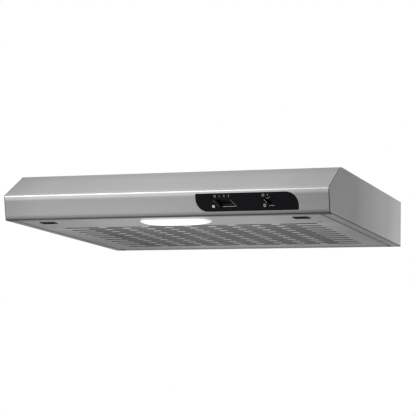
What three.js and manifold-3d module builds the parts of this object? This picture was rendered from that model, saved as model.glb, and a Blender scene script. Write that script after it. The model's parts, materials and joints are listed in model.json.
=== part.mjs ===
// Under-cabinet range hood, 600 mm class, built as separate sheet-metal and moulded pieces.
//
// Frame: millimetres. X runs to the hood's right as seen from the front, Y towards the wall and
// Z up. The origin is on the raised centre pad of the top panel, where the cabinet floor rests.
import * as THREE from 'three';
import { mergeGeometries, mergeVertices } from 'three/addons/utils/BufferGeometryUtils.js';
import Module from 'manifold-3d';

const wasm = await Module();
wasm.setup();

// ---------------------------------------------------------------- driving dimensions
const WIDTH = 598;
const DEPTH = 510;
const BODY_HEIGHT = 87;
const RIDGE_HEIGHT = 42.7;      // of the front's foremost edge, above the underside
const FASCIA_SETBACK = 10;      // how far the fascia's lower edge lies behind the ridge
const CHAMFER_RUN = 71;         // from the ridge back to the top panel's level
const RIDGE_RADIUS = 4.5;
const CHAMFER_RADIUS = 3;       // of the bend between the chamfer and the top
const HEM_RADIUS = 4.8;         // of the rolled lower edge
const SHEET = 1;
const GAP = 0.3;                // between pieces that touch
const PAD_RISE = 1;             // raised pads on the top panel that the cabinet rests on

const FRONT = -DEPTH / 2;
const BACK = DEPTH / 2;
const TOP = -PAD_RISE;          // upper face of the top sheet
const UNDER = TOP - BODY_HEIGHT;
const HALF = WIDTH / 2;
const INNER = HALF - SHEET - GAP;            // half width of what fits between the side panels
const FASCIA_Y = FRONT + FASCIA_SETBACK;
const CHAMFER_Y = FRONT + CHAMFER_RUN;
const RIDGE_Z = UNDER + RIDGE_HEIGHT;
const FASCIA_LEAN = Math.atan(FASCIA_SETBACK / RIDGE_HEIGHT);

const HEM_Y = FASCIA_Y + 10;                 // rear face of the front panel's upturned hem
const HEM_HEIGHT = 8;
const SEAM_Y = CHAMFER_Y + 12;               // where the front panel meets the top panel
const SEAM_DEPTH = 11;
const SIDE_FLANGE = 15.8;                    // width of the side panels' lower flange

const GRILLE_HALF = HALF - SIDE_FLANGE - 0.6;
const GRILLE_FRONT = HEM_Y + 0.8;
const GRILLE_BACK = 233.5;
const GRILLE_EDGE = 10;
const HINGE_Y = 229;
const HINGE_Z = UNDER + 5;
const PIN_RADIUS = 2;

const SLOT_ROWS = 21;
const SLOT_PITCH_Y = 15.2;
const SLOT_PITCH_X = 82.5;
const SLOT_LENGTH = 69;
const SLOT_WIDTH = 9.4;
const SLOT_FIRST_Y = FRONT + 133.8;

const LENS = { x: 8.5, y: FRONT + 54, halfLength: 63.5, halfWidth: 18, skirt: 2, dome: 7.2, wall: 1.6 };
const LAMP_Z = -60;
const LATCH = { x: 235.5, y: FRONT + 54, halfX: 14, halfY: 10.6, rim: 2.6, slider: 9 };
const FILTER_WIRE = 1.2;          // radius of the wires that hold the filter down

const DUCT = { x: 0, y: 90, radius: 60, wall: 2, rise: 24 };
const FLAP_Z = 6;
const FAN = { x: -118, y: 4, radius: 62, scrollStart: 70, scrollEnd: 105 };
const LID_Z = -7;
const HOUSING_FLOOR = -64;
const HOUSING_WALL = 2;

const PANEL = { left: 63, right: 244, low: -36, high: -6, bigRadius: 22, smallRadius: 2 };
const WELL = { top: -17, bottom: -29, slant: 10.5 };
const KNOB_WIDTH = 5;
const FAN_SLIDER = { x: 97.7, travel: 24.6 };
const LIGHT_SLIDER = { x: 182.3, travel: 8.7 };

const TERMINAL = { x0: 190, x1: 255, y0: 190, y1: 235, z0: -40, z1: -10 };
const CABLE = { x: 206, y: 212, bore: 5 };
const KEYHOLES = { x: 200, z: -36 };          // for the wall screws, one each side
const CAPACITOR = { x: 215, y: 40, z: -20, radius: 15, length: 50 };
const LEAD_GAP = 0.8;           // from a lead's end to the box that it enters

// ---------------------------------------------------------------- materials
function finish(colour, roughness, metalness) {
  return new THREE.MeshStandardMaterial({ color: colour, roughness, metalness });
}
const stainless = () => finish(0xa9a8a6, 0.38, 0.9);
const galvanised = () => finish(0x9da1a3, 0.5, 0.8);
const blackGloss = () => finish(0x141215, 0.15, 0);
const blackPlastic = () => finish(0x1a1a1b, 0.5, 0);
const greyPlastic = () => finish(0x6f7174, 0.55, 0);
const whitePaint = () => finish(0xe8e8e4, 0.5, 0);
const steel = () => finish(0xb4b6b8, 0.3, 1);

// ---------------------------------------------------------------- geometry helpers
function signedVolume(geometry) {
  const p = geometry.getAttribute('position');
  const index = geometry.index;
  const a = new THREE.Vector3();
  const b = new THREE.Vector3();
  const c = new THREE.Vector3();
  let volume = 0;
  for (let i = 0; i < index.count; i += 3) {
    a.fromBufferAttribute(p, index.getX(i));
    b.fromBufferAttribute(p, index.getX(i + 1));
    c.fromBufferAttribute(p, index.getX(i + 2));
    volume += a.dot(b.cross(c)) / 6;
  }
  return volume;
}

// Merges the shared corners of a closed shape and turns its faces outwards.
function closed(geometry) {
  const bare = geometry.clone();
  bare.deleteAttribute('normal');
  bare.deleteAttribute('uv');
  const merged = mergeVertices(bare, 1e-4);
  if (signedVolume(merged) < 0) {
    const list = merged.index.array;
    for (let i = 0; i < list.length; i += 3) {
      [list[i], list[i + 1]] = [list[i + 1], list[i]];
    }
  }
  return merged;
}

function solid(geometry) {
  const shape = closed(geometry);
  return new wasm.Manifold(new wasm.Mesh({
    numProp: 3,
    vertProperties: new Float32Array(shape.getAttribute('position').array),
    triVerts: new Uint32Array(shape.index.array),
  }));
}

function fromSolid(manifold) {
  const data = manifold.getMesh();
  const geometry = new THREE.BufferGeometry();
  geometry.setAttribute('position', new THREE.BufferAttribute(data.vertProperties, 3));
  geometry.setIndex(new THREE.BufferAttribute(data.triVerts, 1));
  return geometry;
}

function join(first, ...others) {
  return others.reduce((sum, shape) => sum.add(solid(shape)), solid(first));
}

function cut(body, ...tools) {
  return tools.reduce((rest, tool) => rest.subtract(solid(tool)), body);
}

// A block whose faces lie exactly on the given planes, so that blocks that share a plane meet.
function box(x0, x1, y0, y1, z0, z1) {
  const shape = new THREE.BoxGeometry(1, 1, 1);
  const p = shape.getAttribute('position');
  for (let i = 0; i < p.count; i += 1) {
    p.setXYZ(i, p.getX(i) > 0 ? x1 : x0, p.getY(i) > 0 ? y1 : y0, p.getZ(i) > 0 ? z1 : z0);
  }
  return shape;
}

// A cylinder along one axis, from the point that its low end is centred on.
function rod(axis, x, y, z, radius, length, segments = 24) {
  const shape = new THREE.CylinderGeometry(radius, radius, length, segments);
  shape.translate(0, length / 2, 0);
  if (axis === 'z') shape.rotateX(Math.PI / 2);
  if (axis === 'x') shape.rotateZ(-Math.PI / 2);
  return shape.translate(x, y, z);
}

// Turns a closed [radius, height] profile about the vertical.
function turned(profile, segments = 48) {
  const shape = new THREE.LatheGeometry(profile.map(([r, h]) => new THREE.Vector2(r, h)), segments);
  return shape.rotateX(Math.PI / 2);
}

function outline(points) {
  return new THREE.Shape(points.map(([x, y]) => new THREE.Vector2(x, y)));
}

function plate(shape, z0, z1) {
  const geometry = new THREE.ExtrudeGeometry(shape, { depth: 1, bevelEnabled: false });
  const p = geometry.getAttribute('position');
  for (let i = 0; i < p.count; i += 1) {
    p.setZ(i, p.getZ(i) > 0.5 ? z1 : z0);
  }
  return geometry;
}

// Runs a [y, z] profile across the hood from x0 to x1.
function across(points, x0, x1) {
  const geometry = plate(outline(points), x0, x1);
  const turn = new THREE.Matrix4().makeBasis(
    new THREE.Vector3(0, 1, 0), new THREE.Vector3(0, 0, 1), new THREE.Vector3(1, 0, 0));
  return geometry.applyMatrix4(turn);
}

// Rounds the corners of an open path of [a, b, radius] points with arcs.
function rounded(path, steps = 5) {
  const out = [];
  path.forEach(([a, b, radius = 0], i) => {
    const here = new THREE.Vector2(a, b);
    if (!radius || i === 0 || i === path.length - 1) {
      out.push(here);
      return;
    }
    const into = new THREE.Vector2(path[i - 1][0], path[i - 1][1]).sub(here).normalize();
    const away = new THREE.Vector2(path[i + 1][0], path[i + 1][1]).sub(here).normalize();
    const half = Math.acos(into.dot(away)) / 2;
    const bisector = into.clone().add(away).normalize();
    const centre = here.clone().addScaledVector(bisector, radius / Math.sin(half));
    const start = here.clone().addScaledVector(into, radius / Math.tan(half)).sub(centre);
    const end = here.clone().addScaledVector(away, radius / Math.tan(half)).sub(centre);
    const sweep = Math.atan2(start.cross(end), start.dot(end));
    for (let k = 0; k <= steps; k += 1) {
      out.push(start.clone().rotateAround(new THREE.Vector2(), sweep * k / steps).add(centre));
    }
  });
  return out;
}

// Closed outline of a bent sheet whose outer face follows an open path; the sheet's thickness
// lies to the left of the path.
function bentSheet(path, thickness) {
  const outer = rounded(path);
  const inner = outer.map((point, i) => {
    const before = outer[Math.max(i - 1, 0)];
    const after = outer[Math.min(i + 1, outer.length - 1)];
    const d0 = point.clone().sub(before).normalize();
    const d1 = after.clone().sub(point).normalize();
    if (i === 0) d0.copy(d1);
    if (i === outer.length - 1) d1.copy(d0);
    const n0 = new THREE.Vector2(-d0.y, d0.x);
    const n1 = new THREE.Vector2(-d1.y, d1.x);
    const mitre = n0.clone().add(n1).normalize();
    return point.clone().addScaledVector(mitre, thickness / mitre.dot(n0));
  });
  return [...outer, ...inner.reverse()].map((point) => [point.x, point.y]);
}

function tube(points, radius, steps, sides = 8) {
  const knots = points.map((point) => new THREE.Vector3(...point));
  const curve = new THREE.CatmullRomCurve3(knots, false, 'centripetal');
  const ring = new THREE.Shape();
  for (let k = 0; k < sides; k += 1) {
    const angle = 2 * Math.PI * k / sides;
    if (k === 0) ring.moveTo(radius, 0);
    else ring.lineTo(radius * Math.cos(angle), radius * Math.sin(angle));
  }
  return new THREE.ExtrudeGeometry(ring, { steps, extrudePath: curve, bevelEnabled: false });
}

// Joins closed rings of equal point counts into one skin, with a fan over each end.
function loft(rings) {
  const count = rings[0].length;
  const position = rings.flat(2);
  const index = [];
  for (let r = 0; r + 1 < rings.length; r += 1) {
    for (let k = 0; k < count; k += 1) {
      const a = r * count + k;
      const b = r * count + (k + 1) % count;
      index.push(a, b, b + count, a, b + count, a + count);
    }
  }
  [[0, true], [rings.length - 1, false]].forEach(([r, first]) => {
    const centre = position.length / 3;
    const sum = rings[r].reduce((s, p) => [s[0] + p[0], s[1] + p[1], s[2] + p[2]], [0, 0, 0]);
    position.push(...sum.map((v) => v / count));
    for (let k = 0; k < count; k += 1) {
      const a = r * count + k;
      const b = r * count + (k + 1) % count;
      index.push(...(first ? [centre, b, a] : [centre, a, b]));
    }
  });
  const geometry = new THREE.BufferGeometry();
  geometry.setAttribute('position', new THREE.Float32BufferAttribute(position, 3));
  geometry.setIndex(index);
  return geometry;
}

// ---------------------------------------------------------------- assembly
const hood = new THREE.Group();

// The fascia's own frame: X across, Y up along the fascia from the ridge, Z straight out of it.
const fascia = new THREE.Group();
fascia.position.set(0, FRONT, RIDGE_Z);
fascia.rotation.x = Math.PI / 2 + FASCIA_LEAN;
hood.add(fascia);

function piece(name, shape, material, parent = hood) {
  const geometry = shape.isBufferGeometry ? closed(shape) : fromSolid(shape);
  const mesh = new THREE.Mesh(geometry, material);
  mesh.name = name;
  parent.add(mesh);
  return mesh;
}

const SIDES = [['left', -1], ['right', 1]];

// ---------------------------------------------------------------- sheet-metal body
function leafShape(grow) {
  const { left, right, low, high, bigRadius, smallRadius } = PANEL;
  const corners = [
    [left - grow, high + grow, smallRadius],
    [left - grow, low - grow, bigRadius + grow],
    [right + grow, low - grow, smallRadius],
    [right + grow, high + grow, bigRadius + grow],
  ];
  const loop = [...corners, corners[0], corners[1]];
  const points = rounded(loop, 8).slice(1, -1);
  const unique = points.filter((p, i) => points.findIndex((q) => q.distanceTo(p) < 1e-3) === i);
  return new THREE.Shape(unique);
}

function onFascia(geometry) {
  fascia.updateMatrix();
  return geometry.clone().applyMatrix4(fascia.matrix);
}

function makeFrontPanel() {
  const path = [
    [SEAM_Y, TOP - SEAM_DEPTH],
    [SEAM_Y, TOP, 1.5],
    [CHAMFER_Y, TOP, CHAMFER_RADIUS],
    [FRONT, RIDGE_Z, RIDGE_RADIUS],
    [FASCIA_Y, UNDER, HEM_RADIUS],
    [HEM_Y, UNDER, HEM_RADIUS],
    [HEM_Y, UNDER + HEM_HEIGHT],
  ];
  const sheet = solid(across(bentSheet(path, SHEET), -INNER, INNER));
  piece('front_panel', cut(sheet, onFascia(plate(leafShape(0.4), -4, 4))), stainless());
}

const CABINET_HOLES = [[-230, -120], [230, -120], [-252, 220], [252, 220]];

function makeTopPanel() {
  const y0 = SEAM_Y + GAP;
  const y1 = BACK - SHEET - GAP;
  const foot = TOP - SEAM_DEPTH;
  const tray = cut(
    solid(box(-INNER, INNER, y0, y1, foot, TOP)),
    box(-INNER + SHEET, INNER - SHEET, y0 + SHEET, y1 - SHEET, foot - 1, TOP - SHEET),
  );
  const raise = (x, y, halfX, halfY) => box(x - halfX, x + halfX, y - halfY, y + halfY, TOP - SHEET / 2, 0);
  const pads = [raise(0, -18, 110, 32), ...CABINET_HOLES.map(([x, y]) => raise(x, y, 20, 20))];
  const holes = [
    rod('z', DUCT.x, DUCT.y, -5, DUCT.radius + 0.7, 10, 36),
    rod('z', CABLE.x, CABLE.y, -5, 8, 10, 24),
    ...CABINET_HOLES.map(([x, y]) => rod('z', x, y, -5, 2.5, 10, 16)),
    ...housingEars().map(([x, y]) => rod('z', x, y, -5, 1.8, 10, 12)),
  ];
  piece('top_panel', cut(tray.add(solid(mergeGeometries(pads.map(closed)))), ...holes), stainless());
}

// Each side is one folded sheet: the wall, and a lip along its lower edge that faces inwards.
function makeSidePanels() {
  const profile = rounded([
    [BACK, TOP],
    [CHAMFER_Y, TOP, CHAMFER_RADIUS],
    [FRONT, RIDGE_Z, RIDGE_RADIUS],
    [FASCIA_Y, UNDER, HEM_RADIUS],
    [BACK, UNDER],
  ]).map((point) => [point.x, point.y]);
  SIDES.forEach(([side, sign]) => {
    const span = (near, far) => [sign * near, sign * far].sort((a, b) => a - b);
    const inside = span(0, HALF - SHEET);
    const block = solid(across(profile, ...span(HALF - SIDE_FLANGE, HALF)));
    const sheet = cut(
      block,
      box(...inside, FRONT - 1, BACK + 1, UNDER + SHEET, 1),
      box(...inside, FRONT - 1, HEM_Y + 0.6, UNDER - 1, 1),
      box(...inside, BACK - SHEET - GAP, BACK + 1, UNDER - 1, 1),
    );
    piece(`side_panel_${side}`, sheet, stainless());
  });
}

function keyhole(x, z) {
  return [
    rod('y', x, BACK - 6, z, 5, 10, 20),
    box(x - 2.6, x + 2.6, BACK - 6, BACK + 4, z, z + 11),
  ];
}

function makeBackPanel() {
  const lipY = GRILLE_BACK + 3;
  const lipHalf = GRILLE_HALF - 6.6;
  const inside = BACK - SHEET;
  const sheet = cut(
    solid(box(-INNER, INNER, lipY, BACK, UNDER, TOP)),
    box(-HALF, HALF, lipY - 1, inside, UNDER + SHEET, 1),
    box(-HALF, -lipHalf, lipY - 1, inside, UNDER - 1, 1),
    box(lipHalf, HALF, lipY - 1, inside, UNDER - 1, 1),
    ...keyhole(-KEYHOLES.x, KEYHOLES.z),
    ...keyhole(KEYHOLES.x, KEYHOLES.z),
  );
  piece('back_panel', sheet, galvanised());
}

// ---------------------------------------------------------------- controls
function wellShape(slider, grow) {
  const left = slider.x - KNOB_WIDTH / 2 - grow;
  const right = slider.x + slider.travel + KNOB_WIDTH / 2 + grow;
  return outline([
    [left, WELL.top + grow], [left + WELL.slant, WELL.bottom - grow],
    [right + WELL.slant, WELL.bottom - grow], [right, WELL.top + grow],
  ]);
}

function makeControlPanel() {
  const shell = join(plate(leafShape(0), -2.6, 0.7), plate(leafShape(2.3), -3, -SHEET - GAP));
  const wells = [FAN_SLIDER, LIGHT_SLIDER].map((slider) => plate(wellShape(slider, 0.4), -5, 5));
  piece('control_panel', cut(shell, ...wells), blackGloss(), fascia);
}

function makeKnob(name, slider) {
  const half = KNOB_WIDTH / 2;
  const bar = (grow) => outline([
    [slider.x - half - grow, WELL.top + grow],
    [slider.x - half - grow + WELL.slant, WELL.bottom - grow],
    [slider.x + half + grow + WELL.slant, WELL.bottom - grow],
    [slider.x + half + grow, WELL.top + grow],
  ]);
  const middle = slider.x + WELL.slant / 2;
  const level = (WELL.top + WELL.bottom) / 2;
  const shape = join(
    plate(bar(0), -4, 2.2),
    plate(bar(2), -5, -3.3),
    box(middle - 1.5, middle + 1.5, level - 1.5, level + 1.5, -10, -4),
  );
  piece(name, shape, blackGloss(), fascia);
}

function makeSwitch(name, slider) {
  const middle = slider.x + WELL.slant / 2;
  const level = (WELL.top + WELL.bottom) / 2;
  const left = middle - 5;
  const right = middle + slider.travel + 5;
  const body = solid(box(left - 3, right + 3, level - 6, level + 6, -12.5, -6));
  const slot = box(middle - 2, middle + slider.travel + 2, level - 2, level + 2, -10.6, 0);
  piece(name, cut(body, slot), greyPlastic(), fascia);
}

function makeSwitchBracket() {
  const [left, right, low, high] = [80, 222, -35, -8];
  const [rear, face, wall] = [-14, -3.3, 1.2];
  const channel = cut(
    solid(box(left, right, low, high, rear, face)),
    box(left + wall, right - wall, low - 5, high + 5, rear + wall, 0),
  );
  piece('switch_bracket', channel, galvanised(), fascia);
}

// ---------------------------------------------------------------- grille and what it carries
// Every opening through the grille's sheet: the air slots, the two latches and the lens.
function grilleOpenings() {
  const tools = [];
  const hole = (x, y, halfX, halfY) => {
    tools.push(box(x - halfX, x + halfX, y - halfY, y + halfY, UNDER - 1, UNDER + SHEET + 1));
  };
  for (let row = 0; row < SLOT_ROWS; row += 1) {
    const slots = row % 2 === 0 ? 6 : 5;
    for (let k = 0; k < slots; k += 1) {
      const x = (k - (slots - 1) / 2) * SLOT_PITCH_X;
      hole(x, SLOT_FIRST_Y + row * SLOT_PITCH_Y, SLOT_LENGTH / 2, SLOT_WIDTH / 2);
    }
  }
  SIDES.forEach(([, sign]) => hole(sign * LATCH.x, LATCH.y, LATCH.halfX - 1, LATCH.halfY - 1));
  tools.push(plate(outline(lensRing(1, 0.4)), UNDER - 1, UNDER + SHEET + 1));
  return mergeGeometries(tools.map((tool) => closed(tool)));
}

function makeGrille() {
  const tray = cut(
    solid(box(-GRILLE_HALF, GRILLE_HALF, GRILLE_FRONT, GRILLE_BACK, UNDER, UNDER + GRILLE_EDGE)),
    box(-GRILLE_HALF + SHEET, GRILLE_HALF - SHEET, GRILLE_FRONT + SHEET, GRILLE_BACK - SHEET,
      UNDER + SHEET, UNDER + GRILLE_EDGE + 1),
  );
  const notches = SIDES.map(([, sign]) => box(
    sign * LATCH.x - 6, sign * LATCH.x + 6, GRILLE_FRONT - 2, GRILLE_FRONT + 3, UNDER + 2, UNDER + 7));
  const pinHole = rod('x', -HALF, HINGE_Y, HINGE_Z, PIN_RADIUS + GAP, WIDTH, 16);
  piece('grille_panel', cut(tray, grilleOpenings(), ...notches, pinHole), stainless());
}

// A ring of the lens's rounded-rectangle plan, at a share of its full size.
function lensRing(share, grow = 0, z = 0, count = 36) {
  const squareness = 2 / 4.4;
  const bend = (value) => Math.sign(value) * Math.abs(value) ** squareness;
  return Array.from({ length: count }, (_, k) => {
    const angle = 2 * Math.PI * k / count;
    return [
      LENS.x + (LENS.halfLength * share + grow) * bend(Math.cos(angle)),
      LENS.y + (LENS.halfWidth * share + grow) * bend(Math.sin(angle)),
      z,
    ];
  });
}

function makeLens() {
  const dome = (inset) => [1, 0.94, 0.8, 0.56, 0.28].map((share) => {
    const drop = LENS.dome * Math.sqrt(1 - share * share);
    return lensRing(share, -inset, UNDER - LENS.skirt - drop + inset);
  });
  const outer = [
    lensRing(1, 4, UNDER + 2.6), lensRing(1, 4, UNDER + SHEET + GAP), lensRing(1, 0, UNDER + SHEET + GAP),
    ...dome(0),
  ];
  const inner = [...dome(LENS.wall).reverse(), lensRing(1, -LENS.wall, UNDER + 2.6)];
  piece('lamp_lens', loft([...inner, ...outer]), finish(0xfbfaf4, 0.35, 0));
}

function makeLatch(side, x) {
  const wellX = LATCH.halfX - LATCH.rim;
  const y0 = LATCH.y - LATCH.halfY + LATCH.rim;
  const y1 = LATCH.y + LATCH.halfY - LATCH.rim;
  const roof = UNDER + 8;
  const rim = UNDER - GAP;
  const guide = cut(
    join(
      box(x - LATCH.halfX, x + LATCH.halfX, y0 - LATCH.rim, y1 + LATCH.rim, rim - 0.6, rim),
      box(x - wellX - 1.1, x + wellX + 1.1, y0 - 1.1, y1 + 1.1, rim - 0.3, roof + 1),
    ),
    box(x - wellX, x + wellX, y0, y1, rim - 5, roof),
    box(x - 6, x + 6, y0 - 4, y0 + 2, UNDER + 2.4, UNDER + 6.4),
  );
  piece(`latch_guide_${side}`, guide, blackPlastic());

  const plateY = y0 + GAP;
  const tip = HEM_Y + 0.4;
  const slider = join(
    box(x - wellX + 0.4, x + wellX - 0.4, plateY, plateY + LATCH.slider, UNDER + 1.6, UNDER + 4.2),
    box(x - 9, x + 9, plateY + 5, plateY + 7.4, UNDER - 0.6, UNDER + 2),
    box(x - 5, x + 5, tip, plateY + 1, UNDER + 2.8, UNDER + 5.4),
    box(x - 3, x + 3, plateY + 0.4, plateY + 2.4, UNDER + 4, roof - 0.4),
  );
  piece(`latch_slider_${side}`, slider, blackPlastic());

  const springStart = plateY + 2.4 + GAP;
  const springEnd = y1 - GAP;
  const turns = 6;
  const stepsPerTurn = 7;
  const coil = Array.from({ length: turns * stepsPerTurn + 1 }, (_, k) => [
    x + 1.3 * Math.cos(k * 2 * Math.PI / stepsPerTurn),
    springStart + 0.3 + (springEnd - springStart - 0.6) * k / (turns * stepsPerTurn),
    UNDER + 6 + 1.3 * Math.sin(k * 2 * Math.PI / stepsPerTurn),
  ]);
  piece(`latch_spring_${side}`, tube(coil, 0.28, turns * stepsPerTurn, 4), steel());
}

function makeHinge(side, sign) {
  const span = (near, far) => [sign * near, sign * far].sort((a, b) => a - b);
  const [blockLow, blockHigh] = span(HALF - 13, HALF - SHEET - GAP);
  const block = solid(box(blockLow, blockHigh, HINGE_Y - 8, HINGE_Y + 8, UNDER + SHEET + GAP, UNDER + 12));
  const bore = rod('x', -HALF, HINGE_Y, HINGE_Z, PIN_RADIUS + GAP, WIDTH, 16);
  piece(`hinge_bracket_${side}`, cut(block, bore), galvanised());

  const [pinLow, pinHigh] = span(GRILLE_HALF - 8, HALF - 4);
  const [headLow, headHigh] = span(GRILLE_HALF - 4, GRILLE_HALF - SHEET - GAP);
  const pin = join(
    rod('x', pinLow, HINGE_Y, HINGE_Z, PIN_RADIUS, pinHigh - pinLow, 16),
    rod('x', headLow, HINGE_Y, HINGE_Z, 3.4, headHigh - headLow, 16),
  );
  piece(`hinge_pin_${side}`, pin, steel());
}

function makeFilter() {
  const z0 = UNDER + SHEET + GAP;
  const z1 = z0 + 8;
  const margin = 18;
  const y0 = SLOT_FIRST_Y - margin;
  const y1 = SLOT_FIRST_Y + (SLOT_ROWS - 1) * SLOT_PITCH_Y + margin;
  const half = 258;
  const border = 10;
  const frame = cut(
    solid(box(-half, half, y0, y1, z0, z1)),
    box(-half + border, half - border, y0 + border, y1 - border, z0 - 1, z1 + 1),
  );
  piece('filter_frame', frame, finish(0xb9bbbd, 0.4, 0.9));
  const edge = border + GAP;
  const pad = box(-half + edge, half - edge, y0 + edge, y1 - edge, z0 + 0.8, z1 - 1.5);
  piece('filter_mesh', pad, finish(0x8d8780, 0.6, 0.7));
  [['front', y0 + 70], ['rear', y1 - 70]].forEach(([place, y]) => {
    const rest = z1 + GAP + FILTER_WIRE;
    const wire = join(
      rod('x', -half - 8, y, rest, FILTER_WIRE, 2 * half + 16, 10),
      rod('z', -half - 8, y, z0, FILTER_WIRE, rest - z0, 10),
      rod('z', half + 8, y, z0, FILTER_WIRE, rest - z0, 10),
    );
    piece(`filter_wire_${place}`, wire, steel());
  });
}

// ---------------------------------------------------------------- lamp
function makeLamp() {
  const { x, y } = LENS;
  const trough = [
    [y - 22, UNDER + 10], [y - 22, LAMP_Z + 20, 6], [y + 22, LAMP_Z + 20, 6], [y + 22, UNDER + 10],
  ];
  piece('lamp_reflector', across(bentSheet(trough, -SHEET), x - 66, x + 66), whitePaint());

  const over = LAMP_Z + 20 + SHEET + GAP + SHEET;
  const ceiling = TOP - SHEET - GAP;
  const riser = SEAM_Y + 8;
  const strap = [[y - 12, over], [riser, over, 2], [riser, ceiling, 2], [riser + 18, ceiling]];
  piece('lamp_bracket', across(bentSheet(strap, -SHEET), x - 20, x + 20), galvanised());

  const bulb = turned([
    [0, 0], [5.5, 0], [6.8, 2], [6.8, 22], [8.5, 28], [14, 42], [17, 56], [16.6, 68], [13.5, 80],
    [8, 90], [3, 96], [0, 98],
  ], 20).rotateY(Math.PI / 2).translate(x - 46, y, LAMP_Z);
  piece('lamp_bulb', bulb, finish(0xfff6dd, 0.2, 0));

  const socket = turned([
    [0, 0], [9, 0], [11.5, 3], [11.5, 26], [7.4, 26], [7.4, 4], [0, 4],
  ], 20).rotateY(Math.PI / 2).translate(x - 50.6, y, LAMP_Z);
  piece('lamp_holder', socket, finish(0xdedbd0, 0.5, 0));
}

// ---------------------------------------------------------------- blower
function scrollRadius(degrees) {
  const share = (45 - degrees) / 315;
  return FAN.scrollStart + (FAN.scrollEnd - FAN.scrollStart) * share;
}

// Plan of the blower's case: a spiral round the impeller that leads into the outlet box.
function housingPlan(inset) {
  const points = [];
  for (let degrees = 45; degrees >= -270; degrees -= 15) {
    const angle = degrees * Math.PI / 180;
    const r = scrollRadius(degrees) - inset;
    points.push([FAN.x + r * Math.cos(angle), FAN.y + r * Math.sin(angle)]);
  }
  points.push(
    [-42, FAN.y + FAN.scrollEnd - inset], [-30 + inset, 156 - inset], [66 - inset, 156 - inset],
    [66 - inset, 24 + inset], [-30 + inset, 24 + inset], [-42, 46 + inset],
  );
  return outline(points);
}

function housingEars() {
  const atSpiral = [-70, -185].map((degrees) => {
    const r = scrollRadius(degrees) + 6;
    const angle = degrees * Math.PI / 180;
    return [FAN.x + r * Math.cos(angle), FAN.y + r * Math.sin(angle)];
  });
  return [...atSpiral, [72, 140], [72, 40]];
}

const MOTOR_BUSHES = [30, 150, 270].map((degrees) => {
  const angle = degrees * Math.PI / 180;
  return [FAN.x + 32 * Math.cos(angle), FAN.y + 32 * Math.sin(angle)];
});
const MOTOR_LEAD_HOLE = [FAN.x + 25, FAN.y - 14];

function makeBlowerHousing() {
  const rim = LID_Z - 2;
  const tub = cut(
    solid(plate(housingPlan(0), HOUSING_FLOOR, rim - GAP)),
    plate(housingPlan(HOUSING_WALL), HOUSING_FLOOR + HOUSING_WALL, 0),
    rod('z', FAN.x, FAN.y, HOUSING_FLOOR - 5, 52, 20, 36),
  );
  piece('blower_housing_lower', tub, greyPlastic());

  const ears = housingEars();
  const lid = cut(
    join(
      plate(housingPlan(0), rim, LID_Z),
      ...ears.map(([x, y]) => rod('z', x, y, rim, 8, 2, 12)),
      ...ears.map(([x, y]) => rod('z', x, y, LID_Z - 1, 4.5, TOP - SHEET - GAP - LID_Z + 1, 12)),
    ),
    rod('z', DUCT.x, DUCT.y, -20, DUCT.radius - 4, 40, 32),
    ...ears.map(([x, y]) => rod('z', x, y, -20, 1.8, 40, 8)),
    ...MOTOR_BUSHES.map(([x, y]) => rod('z', x, y, -20, 2, 40, 8)),
    rod('z', ...MOTOR_LEAD_HOLE, -20, 3.2, 40, 12),
  );
  piece('blower_housing_upper', lid, greyPlastic());

  ears.forEach(([x, y], i) => {
    const screw = join(
      rod('z', x, y, rim - GAP - 2, 3, 2, 12),
      rod('z', x, y, rim - GAP - 1, 1.5, 9.5, 12),
    );
    piece(`blower_screw_${i + 1}`, screw, steel());
  });
}

function makeMotor() {
  const rim = LID_Z - 2;
  MOTOR_BUSHES.forEach(([x, y], i) => {
    piece(`motor_bush_${i + 1}`, rod('z', x, y, rim - GAP - 2.3, 4.5, 2.3, 16), finish(0x2a2a2b, 0.85, 0));
  });
  const mount = rim - GAP - 2.3 - GAP;
  const plateFoot = mount - 1.5;
  const motor = turned([
    [0, plateFoot - 22], [14, plateFoot - 22], [16, plateFoot - 20], [36, plateFoot - 19],
    [40, plateFoot - 15], [40, plateFoot - 1], [42, plateFoot], [42, mount], [0, mount],
  ], 28).translate(FAN.x, FAN.y, 0);
  piece('fan_motor', motor, finish(0x8c8f92, 0.45, 0.7));

  const shaftTop = plateFoot - 22 - GAP;
  piece('motor_shaft', rod('z', FAN.x, FAN.y, shaftTop - 14, 4, 14, 16), steel());
}

function makeImpeller() {
  const crown = -12.5;
  const discTop = -37.2;
  const foot = HOUSING_FLOOR + HOUSING_WALL + 1.6;
  const cup = turned([
    [4.3, discTop - 1.6], [4.3, discTop - 10], [10, discTop - 10], [11, discTop - 1.6], [46, discTop - 1.6],
    [46, crown - 1.5], [FAN.radius, crown - 1.5], [FAN.radius, crown], [44.5, crown], [44.5, discTop],
    [4.3, discTop], [4.3, discTop - 1.6],
  ], 32);
  const ring = turned([
    [51, foot], [FAN.radius, foot], [FAN.radius, foot + 1.6], [51, foot + 1.6], [51, foot],
  ], 32);
  const bladeCount = 24;
  const blades = Array.from({ length: bladeCount }, (_, k) => {
    const blade = box(51.5, FAN.radius - 0.6, -0.7, 0.7, foot + 0.8, crown - 0.8);
    blade.translate(-56, 0, 0).rotateZ(0.6).translate(56, 0, 0);
    return blade.rotateZ(2 * Math.PI * k / bladeCount);
  });
  const wheel = join(cup, ring, ...blades).translate([FAN.x, FAN.y, 0]);
  piece('impeller', wheel, finish(0x4a4d50, 0.5, 0));
}

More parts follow.
